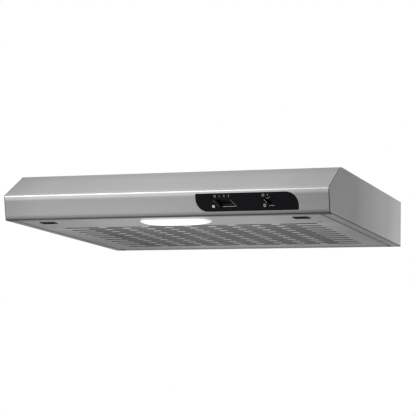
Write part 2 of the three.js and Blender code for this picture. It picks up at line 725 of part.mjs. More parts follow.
// ---------------------------------------------------------------- duct collar and flaps
function makeDuct() {
  const { x, y, radius, wall, rise } = DUCT;
  const base = TOP + GAP;
  const collar = turned([
    [radius - wall, LID_Z + GAP], [radius, LID_Z + GAP], [radius, base], [radius + 10, base],
    [radius + 10, base + 1.7], [radius, base + 1.7], [radius, rise], [radius - wall, rise],
    [radius - wall, LID_Z + GAP],
  ], 36).translate(x, y, 0);
  const pinHole = rod('x', x - radius + 0.5, y, FLAP_Z, 1.8, 2 * radius - 1, 12);
  piece('duct_collar', cut(solid(collar), pinHole), greyPlastic());
  piece('flap_pin', rod('x', x - radius + 0.8, y, FLAP_Z, 1.5, 2 * radius - 1.6, 12), steel());

  [['front', -1, [-40, 12]], ['rear', 1, [-12, 40]]].forEach(([place, sign, knuckles]) => {
    const reach = radius - wall - 2.5;
    const points = [[-reach + 0.2, 4.2]];
    for (let degrees = 10; degrees <= 170; degrees += 10) {
      const angle = (180 - degrees) * Math.PI / 180;
      points.push([reach * Math.cos(angle), reach * Math.sin(angle)]);
    }
    points.push([reach - 0.2, 4.2]);
    const disc = plate(outline(points.map(([a, b]) => [a, sign * b])), -0.6, 0.6);
    const barrels = knuckles.map((centre) => rod('x', centre - 6, 0, 0, 3.2, 12, 12));
    const webs = knuckles.map((centre) => {
      const [near, far] = [sign * 2.4, sign * 6].sort((a, b) => a - b);
      return box(centre - 6, centre + 6, near, far, -0.6, 0.6);
    });
    const flap = cut(join(disc, ...barrels, ...webs), rod('x', -70, 0, 0, 1.8, 140, 12));
    piece(`flap_${place}`, flap.translate([x, y, FLAP_Z]), greyPlastic());
  });
}

// ---------------------------------------------------------------- electrical parts
function makeElectrics() {
  const { x0, x1, y0, y1, z0, z1 } = TERMINAL;
  const tub = cut(
    solid(box(x0, x1, y0, y1, z0, z1)),
    box(x0 + 2, x1 - 2, y0 + 2, y1 - 2, z0 - 2, z1 - 2),
    rod('z', CABLE.x, CABLE.y, z1 - 5, CABLE.bore, 10, 16),
  );
  piece('terminal_box', tub, blackPlastic());
  piece('terminal_box_cover', box(x0, x1, y0, y1, z0 - 2 - GAP, z0 - GAP), blackPlastic());

  const grommet = turned([
    [CABLE.bore, TOP - 4], [10, TOP - 4], [10, TOP - SHEET - GAP], [7.7, TOP - SHEET - GAP],
    [7.7, TOP + GAP], [10, TOP + GAP], [9, TOP + 3], [CABLE.bore, TOP + 3], [CABLE.bore, TOP - 4],
  ], 16).translate(CABLE.x, CABLE.y, 0);
  piece('cable_grommet', grommet, finish(0x222223, 0.85, 0));

  const can = CAPACITOR;
  piece('run_capacitor', rod('y', can.x, can.y - can.length / 2, can.z, can.radius, can.length, 28),
    finish(0xd9d9d4, 0.4, 0));
  const band = cut(
    join(
      rod('y', can.x, can.y - 6, can.z, can.radius + 1.6, 12, 28),
      box(can.x - 10, can.x + 10, can.y - 6, can.y + 6, can.z + can.radius, TOP - SHEET - GAP),
    ),
    rod('y', can.x, can.y - 10, can.z, can.radius + GAP, 20, 28),
  );
  piece('capacitor_clip', band, galvanised());

  const leadZ = (LID_Z + TOP - SHEET) / 2;
  const [holeX, holeY] = MOTOR_LEAD_HOLE;
  piece('motor_lead', tube([
    [holeX, holeY, LID_Z - 4], [holeX, holeY, LID_Z - 1], [holeX + 2, holeY - 1, leadZ],
    [holeX + 12, holeY - 6, leadZ], [-20, -30, leadZ], [80, -30, leadZ - 2], [130, 10, -22],
    [160, 120, -26], [200, 178, -26], [204, y0 - LEAD_GAP, -26],
  ], 1.5, 64, 6), finish(0x303236, 0.6, 0));
  piece('switch_lead', tube([
    [150, -222, -62], [160, -216, -60], [235, -190, -40], [272, -100, -26], [274, 60, -24],
    [262, 160, -26], [246, 182, -26], [244, y0 - LEAD_GAP, -26],
  ], 1.8, 34, 6), finish(0x303236, 0.6, 0));
  piece('lamp_lead', tube([
    [LENS.x - 51, LENS.y, LAMP_Z], [LENS.x - 60, LENS.y, LAMP_Z + 1],
    [LENS.x - 82, LENS.y + 12, LAMP_Z + 12], [LENS.x - 84, LENS.y + 44, -20], [40, -146, -14],
    [200, -140, -16], [256, -60, -20], [256, 110, -20], [228, 178, -26], [226, y0 - LEAD_GAP, -26],
  ], 1.5, 40, 6), finish(0xd8d8d2, 0.6, 0));
}

makeFrontPanel();
makeTopPanel();
makeSidePanels();
makeBackPanel();
makeControlPanel();
makeKnob('fan_slider_knob', FAN_SLIDER);
makeKnob('light_slider_knob', LIGHT_SLIDER);
makeSwitch('fan_switch', FAN_SLIDER);
makeSwitch('light_switch', LIGHT_SLIDER);
makeSwitchBracket();
makeGrille();
makeLens();
SIDES.forEach(([side, sign]) => {
  makeLatch(side, sign * LATCH.x);
  makeHinge(side, sign);
});
makeFilter();
makeLamp();
makeBlowerHousing();
makeMotor();
makeImpeller();
makeDuct();
makeElectrics();

export default hood;
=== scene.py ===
"""Looks of the under-cabinet range hood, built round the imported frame.

Every piece is made in the frame's own axes: X across the hood, Y towards the wall, Z up, with the
origin on the top panel's centre pad. Sizes are in millimetres until a mesh is written.
"""
import json
import math
from math import cos, pi, radians, sin

import bmesh
import bpy
from mathutils import Matrix, Vector


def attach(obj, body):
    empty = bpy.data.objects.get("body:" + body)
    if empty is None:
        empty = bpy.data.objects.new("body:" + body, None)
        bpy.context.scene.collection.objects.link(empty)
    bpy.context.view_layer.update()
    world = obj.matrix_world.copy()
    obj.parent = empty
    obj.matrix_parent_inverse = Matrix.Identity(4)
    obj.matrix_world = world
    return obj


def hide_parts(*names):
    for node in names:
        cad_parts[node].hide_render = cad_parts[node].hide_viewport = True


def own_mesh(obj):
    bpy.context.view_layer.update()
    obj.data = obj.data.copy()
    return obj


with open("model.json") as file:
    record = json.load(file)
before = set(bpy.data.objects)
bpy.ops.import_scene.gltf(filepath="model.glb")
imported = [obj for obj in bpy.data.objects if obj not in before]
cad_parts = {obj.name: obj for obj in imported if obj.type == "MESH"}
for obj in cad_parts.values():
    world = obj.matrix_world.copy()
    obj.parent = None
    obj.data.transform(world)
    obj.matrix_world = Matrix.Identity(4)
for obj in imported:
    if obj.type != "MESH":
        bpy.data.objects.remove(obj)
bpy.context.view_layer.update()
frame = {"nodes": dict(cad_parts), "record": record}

# ---------------------------------------------------------------- sizes, in millimetres
MM = 0.001
SHEET = 1.0
GAP = 0.3
HALF = 299.0
INNER = HALF - SHEET - GAP
FRONT = -255.0
BACK = 255.0
TOP = -1.0
UNDER = -88.0
CEILING = TOP - SHEET - GAP              # just under the top panel's sheet
ON_GRILLE = UNDER + SHEET + GAP          # just above the grille
RIDGE_Z = UNDER + 42.7
RIDGE_RADIUS = 4.5
CHAMFER_RADIUS = 3.0
HEM_RADIUS = 4.8
FASCIA_Y = FRONT + 10.0
CHAMFER_Y = FRONT + 71.0
HEM_Y = FASCIA_Y + 10.0
HEM_HEIGHT = 8.0
SEAM_Y = CHAMFER_Y + 12.0
SEAM_DEPTH = 11.0
SIDE_FLANGE = 15.8
FASCIA_LEAN = math.atan2(FASCIA_Y - FRONT, RIDGE_Z - UNDER)

GRILLE_HALF = HALF - SIDE_FLANGE - 0.6
GRILLE_FRONT = HEM_Y + 0.8
GRILLE_BACK = 233.5
GRILLE_EDGE = 10.0
GRILLE_SHEET = 0.6                       # thinner than the body's sheet
GRILLE_RELIEF = 0.6                      # further gap along the grille's two side edges
HINGE_Y, HINGE_Z, PIN_RADIUS = 229.0, UNDER + 5, 2.0
SLOT_ROWS, SLOTS_PER_ROW = 21, 6         # every second row has one slot less
SLOT_PITCH_X, SLOT_PITCH_Y = 82.5, 15.2
SLOT_LENGTH, SLOT_WIDTH = 69.0, 9.4
SLOT_FIRST_Y = FRONT + 133.8
THROUGH_GRILLE = (UNDER - 1, UNDER + SHEET + 1)      # levels of the tools that pierce its sheet
FILTER_MARGIN = 18.0
RIVET_HOLE = (252.0, FRONT + 110.0)      # a small hole near each front corner of the grille

# The lens: a superellipse of this power in plan, with its flange on the grille's upper side.
LENS = dict(x=8.5, y=FRONT + 54, half_length=63.5, half_width=18.0, power=4.4, skirt=2.0, dome=6.9,
            wall=1.6, flange=4.0, rim=2.6)
LAMP_Z = -60.0
BULB_X, HOLDER_X = LENS["x"] - 46.0, LENS["x"] - 50.6
REFLECTOR = dict(half_x=66.0, half_y=22.0, rise=20.0, strap=20.0)
LATCH = dict(x=235.5, y=FRONT + 54, half_x=14.0, half_y=10.6, rim=2.6, slider=9.0,
             window=6.0, tongue=5.0)             # half widths in front of and on the slider

PANEL = dict(left=63.0, right=244.0, low=-36.0, high=-6.0, big=22.0, small=2.0)
WELL_TOP, WELL_BOTTOM, WELL_SLANT = -17.0, -27.4, 9.1
WELL_LEVEL = (WELL_TOP + WELL_BOTTOM) / 2
KNOB_HALF, KNOB_FACE = 2.5, 2.2           # half its width, and how far it stands out
FAN_SLIDER = (97.7, 24.6)                # left end of the travel, and its length
LIGHT_SLIDER = (182.3, 8.7)
SEAM_GAP = 0.9                           # extra gap at the front panel's right end
PANEL_FACE = 0.7                         # how far the control panel stands out of the fascia

DUCT = dict(x=0.0, y=90.0, radius=60.0, wall=2.0, rise=24.0)
DUCT_LEDGE, DUCT_SCREWS = 10.0, 5.5      # width of the ledge at its foot, and the screws' offset
FLAP_Z, FLAP_BORE, FLAP_PIN = 6.0, 1.8, 1.5
FLAP_HALF, KNUCKLE_RADIUS, KNUCKLE_HALF = 0.6, 3.2, 6.0      # half thickness, and half length
FAN = dict(x=-118.0, y=4.0, radius=62.0, start=70.0, end=105.0)
SPIRAL_START, SPIRAL_TURN = 45, 315      # degrees
OUTLET = dict(throat=-42.0, left=-30.0, right=66.0, front=24.0, back=156.0, lip=46.0)
EAR_OUT, EAR_IN = 6.0, 16.0              # the housing's ears: past its wall, and in from a corner
INLET_RADIUS, BUSH_CIRCLE, SCREW_HOLE = 52.0, 32.0, 1.8
LEAD_HOLE = (FAN["x"] + 25, FAN["y"] - 14)
THROUGH_LID = (-20, 20)
LID_Z = -7.0
LID_UNDER = LID_Z - 2
EAR_RADIUS, BOSS_RADIUS = 8.0, 4.5
MOTOR_FLANGE, MOTOR_LENGTH = 1.5, 22.0
BLADES, BLADE_ROOT, BLADE_LEAN = 24, 51.5, radians(9)
HOUSING_FLOOR = -64.0
HOUSING_WALL = 2.0
CAPACITOR = dict(x=215.0, y=40.0, z=-20.0, radius=15.0, length=50.0)
TERMINAL = dict(x0=190.0, x1=255.0, y0=190.0, y1=235.0, z0=-40.0, z1=-10.0)
TERMINAL_WALL = 2.0
CABLE_X, CABLE_Y, CABLE_BORE = 206.0, 212.0, 5.0
LEAD_GAP = 0.8

FILTER_HALF, FILTER_BORDER, FILTER_DEPTH = 258.0, 10.0, 8.0
FILTER_WIRE, WIRE_INSET = 1.2, 70.0
KNIT_STEP, KNIT_DEPTH = 1.5, 0.6
FAN_STEPS = 4                            # off and three speeds
DIGIT_LEVEL, DIGIT_HEIGHT, PRINT_DEPTH = -10.4, 3.4, 0.05
FAN_ICON, LIGHT_ICON = (94.7, -27.6), (185.6, -27.2)
ZIGZAG = ((189.4, -16.9), (191.0, -15.2), (192.6, -15.9), (194.6, -13.8))
SHIELD = dict(x=151.0, half_x=68.0, half_y=10.0, back=-5.8, face=-5.25)   # behind the slider wells
SMOOTH_ANGLE = radians(35)

body_of = {node: body for body, nodes in frame["record"]["behaviour"]["bodies"].items()
           for node in nodes}
slot_of = {row["node"]: row["material_slot"] for row in frame["record"]["subparts"]}
SIDES = (("left", -1), ("right", 1))


def add_object(name, data):
    obj = bpy.data.objects.new(name, data)
    bpy.context.scene.collection.objects.link(obj)
    return obj


# ---------------------------------------------------------------- camera
CAMERA_AZIMUTH, CAMERA_ELEVATION, CAMERA_ROLL = 20.183, -7.564, 1.414
CAMERA_DISTANCE = 2951.1
CAMERA_AIM = (-5.016, -5.0, -40.125)
SENSOR_WIDTH = 36.0
LENS_LENGTH = 137.61


def make_camera():
    azimuth, elevation = radians(CAMERA_AZIMUTH), radians(CAMERA_ELEVATION)
    roll = radians(CAMERA_ROLL)
    back = Vector((sin(azimuth) * cos(elevation),
                   -cos(azimuth) * cos(elevation), sin(elevation)))
    right = Vector((cos(azimuth), sin(azimuth), 0))
    up = back.cross(right)
    x_axis = cos(roll) * right + sin(roll) * up
    y_axis = -sin(roll) * right + cos(roll) * up
    turn = Matrix((x_axis, y_axis, back)).transposed().to_4x4()
    data = bpy.data.cameras.new("camera")
    data.sensor_width = SENSOR_WIDTH
    data.lens = LENS_LENGTH
    data.clip_start, data.clip_end = 0.05, 60
    camera = add_object("camera", data)
    place = (Vector(CAMERA_AIM) + back * CAMERA_DISTANCE) * MM
    camera.matrix_world = Matrix.Translation(place) @ turn
    bpy.context.scene.camera = camera


# ---------------------------------------------------------------- light and floor
WORLD_BASE = 0.36
# Soft regions of the studio: direction, inner and outer angle in degrees, added brightness.
WORLD_LOBES = (
    ((-0.88, -0.45, -0.20), 5, 64, 1.4),        # card to the left, in front
    ((-0.24, 0.55, 0.80), 5, 52, 0.74),         # ceiling over the cabinet
    ((-0.34, 0.93, -0.20), 10, 45, 0.30),       # wall behind, under the cabinet
    ((0.55, 0.80, 0.20), 10, 40, 0.2),          # wall behind, to the right
    ((-0.10, -0.15, -0.98), 10, 45, -0.18),     # dark floor
    ((-0.20, 0.60, -0.77), 5, 35, 0.15),        # pale wall, low behind
    ((-0.66, -0.60, 0.48), 5, 34, 2.9),         # window, high in front on the left
    ((1.0, -0.15, 0.10), 15, 50, 0.5),          # card far to the right
    ((-1.0, 0.40, 0.10), 15, 40, 0.3),          # card far to the left
    ((0.60, -0.62, 0.45), 15, 45, 0.7),         # high front card, to the right
    ((0.0, 0.0, 1.0), 10, 40, 0.2),             # overhead
)
FLOOR_LEVEL, FLOOR_REACH, FLOOR_GLOW = -3.6, 40, 0.62     # metres; the hood hangs well above it
# Lamps: name, place and aim in metres, width, height, watts.
LAMPS = (
    ("key", (-1.4, -2.4, 1.5), (0, 0, 0), 3.2, 2.0, 14),
    ("side", (0.62, 0.95, 0.1), (0.3, 0.2, -0.04), 0.3, 0.9, 0.25),
)


def make_world():
    """White to the camera; to the object, a dim studio with a few large soft regions."""
    world = bpy.data.worlds.new("studio")
    bpy.context.scene.world = world
    world.use_nodes = True
    tree = world.node_tree
    seen = tree.nodes["Background"]
    feed(tree, seen, {"Color": (1, 1, 1, 1)})
    direction = add_node(tree, "TexCoord", {}).outputs["Generated"]
    level = WORLD_BASE
    for centre, inner, outer, gain in WORLD_LOBES:
        dot = add_node(tree, "VectorMath", {0: direction, 1: Vector(centre).normalized()})
        dot.operation = "DOT_PRODUCT"
        lobe = add_node(tree, "MapRange", {
            "Value": dot.outputs["Value"], "From Min": cos(radians(outer)),
            "From Max": cos(radians(inner)), "To Max": gain})
        lobe.interpolation_type = "SMOOTHSTEP"
        level = add_node(tree, "Math", {0: lobe.outputs["Result"], 1: level}).outputs["Value"]
    studio = add_node(tree, "Background", {"Strength": level})
    is_camera = add_node(tree, "LightPath", {}).outputs["Is Camera Ray"]
    picked = add_node(tree, "MixShader", {
        0: is_camera, 1: studio.outputs["Background"], 2: seen.outputs["Background"]})
    feed(tree, tree.nodes["World Output"], {"Surface": picked.outputs["Shader"]})


def area_light(name, place, aim, width, height, power):
    data = bpy.data.lights.new(name, "AREA")
    data.shape = "RECTANGLE"
    data.size, data.size_y = width, height
    data.energy = power
    light = add_object(name, data)
    light.location = place
    light.rotation_euler = (Vector(aim) - Vector(place)).to_track_quat("-Z", "Y").to_euler()
    light.visible_camera = False


def make_lights():
    for row in LAMPS:
        area_light(*row)
    view = bpy.context.scene.view_settings
    view.view_transform = "Standard"
    view.look = "None"


def make_floor():
    mesh = bpy.data.meshes.new("floor")
    corners = [(a * FLOOR_REACH, b * FLOOR_REACH, FLOOR_LEVEL)
               for a, b in ((-1, -1), (1, -1), (1, 1), (-1, 1))]
    mesh.from_pydata(corners, [], [(0, 1, 2, 3)])
    floor = add_object("floor", mesh)
    material, shader, tree = new_material("floor_white", (0.6, 0.6, 0.6), 0.9, specular=0.0)
    feed(tree, shader, {"Emission Color": (1, 1, 1, 1), "Emission Strength": FLOOR_GLOW})
    mesh.materials.append(material)
    floor.visible_glossy = False
    floor.visible_diffuse = False


# ---------------------------------------------------------------- material helpers
def feed(tree, node, inputs):
    """Sets inputs of a node, each to a value or to another node's output."""
    for key, value in inputs.items():
        if isinstance(value, bpy.types.NodeSocket):
            tree.links.new(value, node.inputs[key])
        else:
            node.inputs[key].default_value = value


def add_node(tree, kind, inputs):
    node = tree.nodes.new("ShaderNode" + kind)
    feed(tree, node, inputs)
    return node


def new_material(name, colour, roughness, metallic=0.0, specular=0.5):
    material = bpy.data.materials.new(name)
    material.use_nodes = True
    tree = material.node_tree
    shader = tree.nodes["Principled BSDF"]
    feed(tree, shader, {"Base Color": (*colour, 1), "Roughness": roughness, "Metallic": metallic,
                        "Specular IOR Level": specular})
    return material, shader, tree


def position(tree, stretch=(1, 1, 1)):
    """The point's place in the frame, in metres, with each axis scaled."""
    place = add_node(tree, "TexCoord", {}).outputs["Object"]
    return add_node(tree, "Mapping", {"Scale": stretch, "Vector": place}).outputs["Vector"]


def noise(tree, scale, detail, stretch=(1, 1, 1), roughness=0.5):
    return add_node(tree, "TexNoise", {
        "Scale": scale, "Detail": detail, "Roughness": roughness,
        "Vector": position(tree, stretch)}).outputs["Fac"]


def remap(tree, value, low, high, from_low=0.3, from_high=0.7):
    return add_node(tree, "MapRange", {
        "Value": value, "From Min": from_low, "From Max": from_high,
        "To Min": low, "To Max": high}).outputs["Result"]


def mix(tree, factor, first, second, blend="MIX"):
    node = tree.nodes.new("ShaderNodeMix")
    node.data_type = "RGBA"
    node.blend_type = blend
    feed(tree, node, {"Factor": factor, "A": first, "B": second})
    return node.outputs["Result"]


def tint(tree, value, dark, light):
    """Mixes two colours by a value from 0 to 1."""
    return mix(tree, value, (*dark, 1), (*light, 1))


def multiply(tree, first, second):
    return mix(tree, 1, first, second, "MULTIPLY")


def bump(tree, height, strength, distance):
    return add_node(tree, "Bump", {
        "Strength": strength, "Distance": distance, "Height": height}).outputs["Normal"]


def scaled(colour, factor):
    return tuple(min(1.0, c * factor) for c in colour)


def along(tree, axis, start, end):
    """Runs from 0 to 1 between two places, in metres, along one axis of the frame."""
    split = add_node(tree, "SeparateXYZ", {"Vector": position(tree)})
    return remap(tree, split.outputs[axis], 0, 1, start, end)


def graded(tree, axis, stops):
    """A grey that follows (place in millimetres, shade) stops along one axis of the frame."""
    start, end = stops[0][0], stops[-1][0]
    node = add_node(tree, "ValToRGB", {"Fac": along(tree, axis, start * MM, end * MM)})
    node.color_ramp.interpolation = "EASE"
    marks = node.color_ramp.elements
    while len(marks) < len(stops):
        marks.new(0.5)
    for mark, (place, shade) in zip(marks, stops):
        mark.position = (place - start) / (end - start)
        mark.color = (shade, shade, shade, 1)
    return node.outputs["Color"]


# ---------------------------------------------------------------- materials
def brushed(name, colour, grain, roughness, painted_light=()):
    """Satin sheet metal whose grain runs along one axis, with painted reflection, highlight and shade
    multiplied in as (axis, stops).
    """
    material, shader, tree = new_material(name, colour, 0.35, 1.0)
    stretch = {"x": (0.012, 1, 1), "y": (1, 0.012, 1)}[grain]
    streaks = noise(tree, 900, 4, stretch, 0.65)
    fine = remap(tree, streaks, 0, 1, 0.25, 0.75)
    shade = tint(tree, fine, scaled(colour, 0.94), scaled(colour, 1.06))
    # Painted reflection, highlight and shade multiplied into the base colour.
    for axis, stops in painted_light:
        shade = multiply(tree, shade, graded(tree, axis, stops))
    feed(tree, shader, {"Base Color": shade,
                        "Roughness": remap(tree, noise(tree, 4, 2), *roughness),
                        "Normal": bump(tree, streaks, 0.12, 0.0002)})
    return material


def moulded(name, colour, roughness, specular=0.5, grain=1500, strength=0.2, depth=0.00005):
    """Moulded plastic with a fine texture and slightly uneven gloss."""
    material, shader, tree = new_material(name, colour, roughness, 0.0, specular)
    patches = noise(tree, 30, 3)
    shade = tint(tree, remap(tree, patches, 0, 1), scaled(colour, 0.92), scaled(colour, 1.08))
    gloss = remap(tree, patches, roughness * 0.85, min(1, roughness * 1.15))
    feed(tree, shader, {"Base Color": shade, "Roughness": gloss,
                        "Normal": bump(tree, noise(tree, grain, 2), strength, depth)})
    return material


def galvanised(name, colour):
    """Zinc-coated sheet: a faint spangle of flat crystals."""
    material, shader, tree = new_material(name, colour, 0.45, 0.9)
    cells = add_node(tree, "TexVoronoi", {"Scale": 160, "Vector": position(tree)})
    shade = add_node(tree, "SeparateColor", {"Color": cells.outputs["Color"]}).outputs["Red"]
    feed(tree, shader, {"Base Color": tint(tree, shade, scaled(colour, 0.85), scaled(colour, 1.1)),
                        "Roughness": remap(tree, shade, 0.38, 0.55, 0, 1)})
    return material


def lit_plastic(name, colour, strength, reach):
    """Frosted white plastic, brightest in front of the lamp and dimmer within reach of its ends."""
    material, shader, tree = new_material(name, colour, 0.4)
    middle, half = LENS["x"] * MM, reach * MM
    left = along(tree, "X", middle - half, middle - half * 0.8)
    right = along(tree, "X", middle + half, middle + half * 0.84)
    dim, full = (0.55, 0.55, 0.53), (1, 1, 1)
    glow = multiply(tree, tint(tree, left, dim, full), tint(tree, right, dim, full))
    glow = multiply(tree, glow, graded(tree, "Z", SKIRT_GLOW))
    patches = tint(tree, remap(tree, noise(tree, 25, 2), 0, 1), (0.97, 0.95, 0.91), (1, 0.99, 0.96))
    grain = remap(tree, noise(tree, 400, 2), 0, 1)
    feed(tree, shader, {"Emission Color": multiply(tree, glow, patches),
                        "Base Color": tint(tree, grain, scaled(colour, 0.96), colour),
                        "Emission Strength": strength})
    return material


def knitted(name, colour):
    """Layers of fine aluminium mesh: painted shade between the strands, standing for the layers below;
    bright specks on the strands.
    """
    material, shader, tree = new_material(name, colour, 0.5, 0.75)
    strands = add_node(tree, "TexVoronoi", {"Scale": 420, "Vector": position(tree)})
    strands.feature = "DISTANCE_TO_EDGE"
    wire = remap(tree, strands.outputs["Distance"], 1, 0, 0.02, 0.18)
    # Painted shade between the strands, for the layers below; brighter on the strands.
    shade = tint(tree, wire, scaled(colour, 0.35), scaled(colour, 1.5))
    patches = tint(tree, remap(tree, noise(tree, 28, 3), 0, 1), (0.8, 0.78, 0.74), (1, 1, 1))
    feed(tree, shader, {"Base Color": multiply(tree, shade, patches),
                        "Roughness": remap(tree, wire, 0.75, 0.4, 0, 1),
                        "Normal": bump(tree, wire, 0.8, 0.0004)})
    return material


# Painted light on the steel, as (place in millimetres, shade) stops along an axis: a painted
# reflection of what the satin sheet mirrors of the room, painted highlights, and painted shade on the
# dark folds.
STEEL = (0.62, 0.62, 0.622)
# Painted shade on the walls of the grille's holes: a dark brownish colour that darkens the slots.
HOLE_WALL_SHADE = (0.064, 0.054, 0.047)
# Front panel: painted shade towards the hem's fold, a painted highlight under the ridge, a painted fade
# up the chamfer, and painted shade towards both ends.
FRONT_PAINTED_LIGHT = (
    ("Z", ((UNDER, 0.3), (UNDER + 3, 0.37), (UNDER + 9, 0.64), (RIDGE_Z - 10, 0.61),
           (RIDGE_Z - 5, 1.0), (RIDGE_Z, 1.0), (RIDGE_Z + 6, 0.8), (RIDGE_Z + 25, 0.77), (TOP, 0.66))),
    ("X", ((-HALF, 0.78), (-220, 0.93), (-100, 0.98), (0, 0.99), (150, 0.93), (HALF, 0.8))),
)
# Side panels: painted reflection, lighter towards the back; a painted dark line along the bottom fold and
# a painted highlight just above it.
SIDE_PAINTED_LIGHT = (
    ("Y", ((FRONT, 0.46), (-100, 0.48), (0, 0.58), (120, 0.75), (BACK, 1.0))),
    ("Z", ((UNDER, 0.18), (UNDER + 2, 0.22), (UNDER + 3.2, 1.2), (UNDER + 5.5, 1.0), (TOP, 1.0))),
)
# Downward flanges of the side panels: painted shade, darker towards the back.
FLANGE_PAINTED_LIGHT = (("Y", ((FRONT, 0.46), (0, 0.38), (BACK, 0.34))),)
# Grille: painted light brightest by the first slots near the lamp, painted shade towards the back and the
# ends, and a painted dark strip along its right edge only.
GRILLE_PAINTED_LIGHT = (
    ("Y", ((FRONT, 1.03), (SLOT_FIRST_Y - 12, 1.07), (SLOT_FIRST_Y + 3, 1.35), (-60, 1.0), (20, 0.82),
           (BACK, 0.56))),
    ("X", ((-HALF, 0.53), (-200, 0.73), (-120, 0.97), (0, 1.0), (150, 0.92), (220, 0.7),
           (GRILLE_HALF - 5.5, 0.54), (GRILLE_HALF - 4, 0.1), (HALF, 0.1))),
)
SKIRT_GLOW = ((UNDER - 9, 1.0), (UNDER - 1.8, 1.0), (UNDER - 0.8, 0.5), (UNDER, 0.35))


SATIN = (0.3, 0.4)
# Each finish: how it is made, its colour and the rest of what its maker takes.
FINISHES = {
    # Copies of the one steel, each with its own painted reflection, highlight and shade.
    "stainless_front": (brushed, STEEL, "x", SATIN, FRONT_PAINTED_LIGHT),
    "stainless_side": (brushed, STEEL, "y", SATIN, SIDE_PAINTED_LIGHT),
    "stainless_grille": (brushed, STEEL, "x", SATIN, GRILLE_PAINTED_LIGHT),
    "stainless_flange": (brushed, STEEL, "y", SATIN, FLANGE_PAINTED_LIGHT),
    "stainless_edge": (brushed, HOLE_WALL_SHADE, "x", (0.5, 0.6)),
    "zinc_steel": (galvanised, (0.34, 0.347, 0.354)),
    "panel_black": (moulded, (0.006, 0.005, 0.007), 0.2, 0.06, 200, 0.05, 0.00002),
    # A lighter black than the panel's: painted light that lifts the shade on the sheet in the slider
    # wells.
    "shield_black": (moulded, (0.018, 0.016, 0.019), 0.5, 0.06, 200),
    "black_plastic": (moulded, (0.004, 0.004, 0.004), 0.5, 0.06),
    "grey_plastic": (moulded, (0.2, 0.205, 0.21), 0.5),
    "fan_plastic": (moulded, (0.05, 0.052, 0.055), 0.45),
    "lens_white": (lit_plastic, (0.9, 0.89, 0.86), 0.9, LENS["half_length"]),
    "bulb_glass": (lit_plastic, (0.9, 0.85, 0.7), 3.0, 200),
    "lamp_ceramic": (moulded, (0.7, 0.68, 0.62), 0.4),
    "white_enamel": (moulded, (0.75, 0.75, 0.73), 0.35, 0.5, 300),
    "bright_steel": (brushed, (0.6, 0.6, 0.6), "x", (0.18, 0.28)),
    "filter_metal": (brushed, (0.5, 0.51, 0.52), "x", (0.35, 0.5)),
    "filter_knit": (knitted, (0.165, 0.135, 0.112)),
    "motor_metal": (moulded, (0.3, 0.31, 0.32), 0.4, 0.5, 600),
    "bush_rubber": (moulded, (0.015, 0.015, 0.015), 0.8),
    "white_plastic": (moulded, (0.7, 0.7, 0.67), 0.4),
    "lead_dark": (moulded, (0.03, 0.033, 0.037), 0.5),
    "lead_pale": (moulded, (0.55, 0.55, 0.52), 0.5),
    # The print's grey, also used for the painted highlights along the slider wells.
    "print_grey": (moulded, (0.5, 0.5, 0.5), 0.5, 0.5, 600),
}


def finish_for(node):
    """A CAD node's material: its slot's, with the steel told apart by part, each part's copy with its own
    painted light, and the switches black.
    """
    slot = slot_of[node]
    if node in ("fan_switch", "light_switch"):
        return materials["black_plastic"]
    if slot != "stainless":
        return materials[slot]
    if "side" in node:
        return materials["stainless_side"]
    return materials["stainless_grille" if "grille" in node else "stainless_front"]


# ---------------------------------------------------------------- outlines
def polar(radius, angle, x=0.0, y=0.0):
    return x + radius * cos(angle), y + radius * sin(angle)


def span(near, far, sign):
    """Two distances from the middle, as rising places on the side of the sign."""
    return sorted((sign * near, sign * far))


def raised(profile, level):
    return [(radius, level + height) for radius, height in profile]


def turned_by(vector, angle):
    return Vector((vector.x * cos(angle) - vector.y * sin(angle),
                   vector.x * sin(angle) + vector.y * cos(angle)))


def rounded(path, steps=10, closed=False):
    """Rounds the corners of a path of (a, b, radius) points with arcs."""
    out = []
    for i, corner in enumerate(path):
        here = Vector(corner[:2])
        radius = corner[2] if len(corner) > 2 else 0
        if not radius or (not closed and i in (0, len(path) - 1)):
            out.append(here)
            continue
        into = (Vector(path[i - 1][:2]) - here).normalized()
        away = (Vector(path[(i + 1) % len(path)][:2]) - here).normalized()
        half = into.angle(away) / 2
        centre = here + (into + away).normalized() * (radius / sin(half))
        start = here + into * (radius / math.tan(half)) - centre
        end = here + away * (radius / math.tan(half)) - centre
        sweep = math.atan2(start.x * end.y - start.y * end.x, start.dot(end))
        out += [centre + turned_by(start, sweep * k / steps) for k in range(steps + 1)]
    return [tuple(point) for point in out]


def bent_sheet(path, thickness=SHEET, steps=10):
    """Closed outline of a bent sheet; its thickness lies to the left of the path."""
    outer = [Vector(point) for point in rounded(path, steps)]
    inner = []
    for i, point in enumerate(outer):
        before = (point - outer[i - 1]).normalized() if i else None
        after = (outer[i + 1] - point).normalized() if i + 1 < len(outer) else None
        before, after = before or after, after or before
        n0, n1 = Vector((-before.y, before.x)), Vector((-after.y, after.x))
        mitre = (n0 + n1).normalized()
        inner.append(point + mitre * (thickness / mitre.dot(n0)))
    return [tuple(point) for point in outer + inner[::-1]]


def rectangle(x, y, half_x, half_y, radius, steps=6):
    corners = [(x - half_x, y - half_y), (x + half_x, y - half_y),
               (x + half_x, y + half_y), (x - half_x, y + half_y)]
    return rounded([(a, b, radius) for a, b in corners], steps, closed=True)


def leaf(grow):
    """The control panel's outline: two opposite corners tight, the other two swept."""
    left, right = PANEL["left"] - grow, PANEL["right"] + grow
    low, high = PANEL["low"] - grow, PANEL["high"] + grow
    big, small = PANEL["big"] + grow, PANEL["small"]
    return rounded([(left, high, small), (left, low, big), (right, low, small), (right, high, big)],
                   16, closed=True)


def slanted(left, right, grow, radius=0.8):
    """A parallelogram between the top and the bottom of the slider wells."""
    top, bottom = WELL_TOP + grow, WELL_BOTTOM - grow
    return rounded([(left - grow, top, radius), (left - grow + WELL_SLANT, bottom, radius),
                    (right + grow + WELL_SLANT, bottom, radius), (right + grow, top, radius)],
                   6, closed=True)


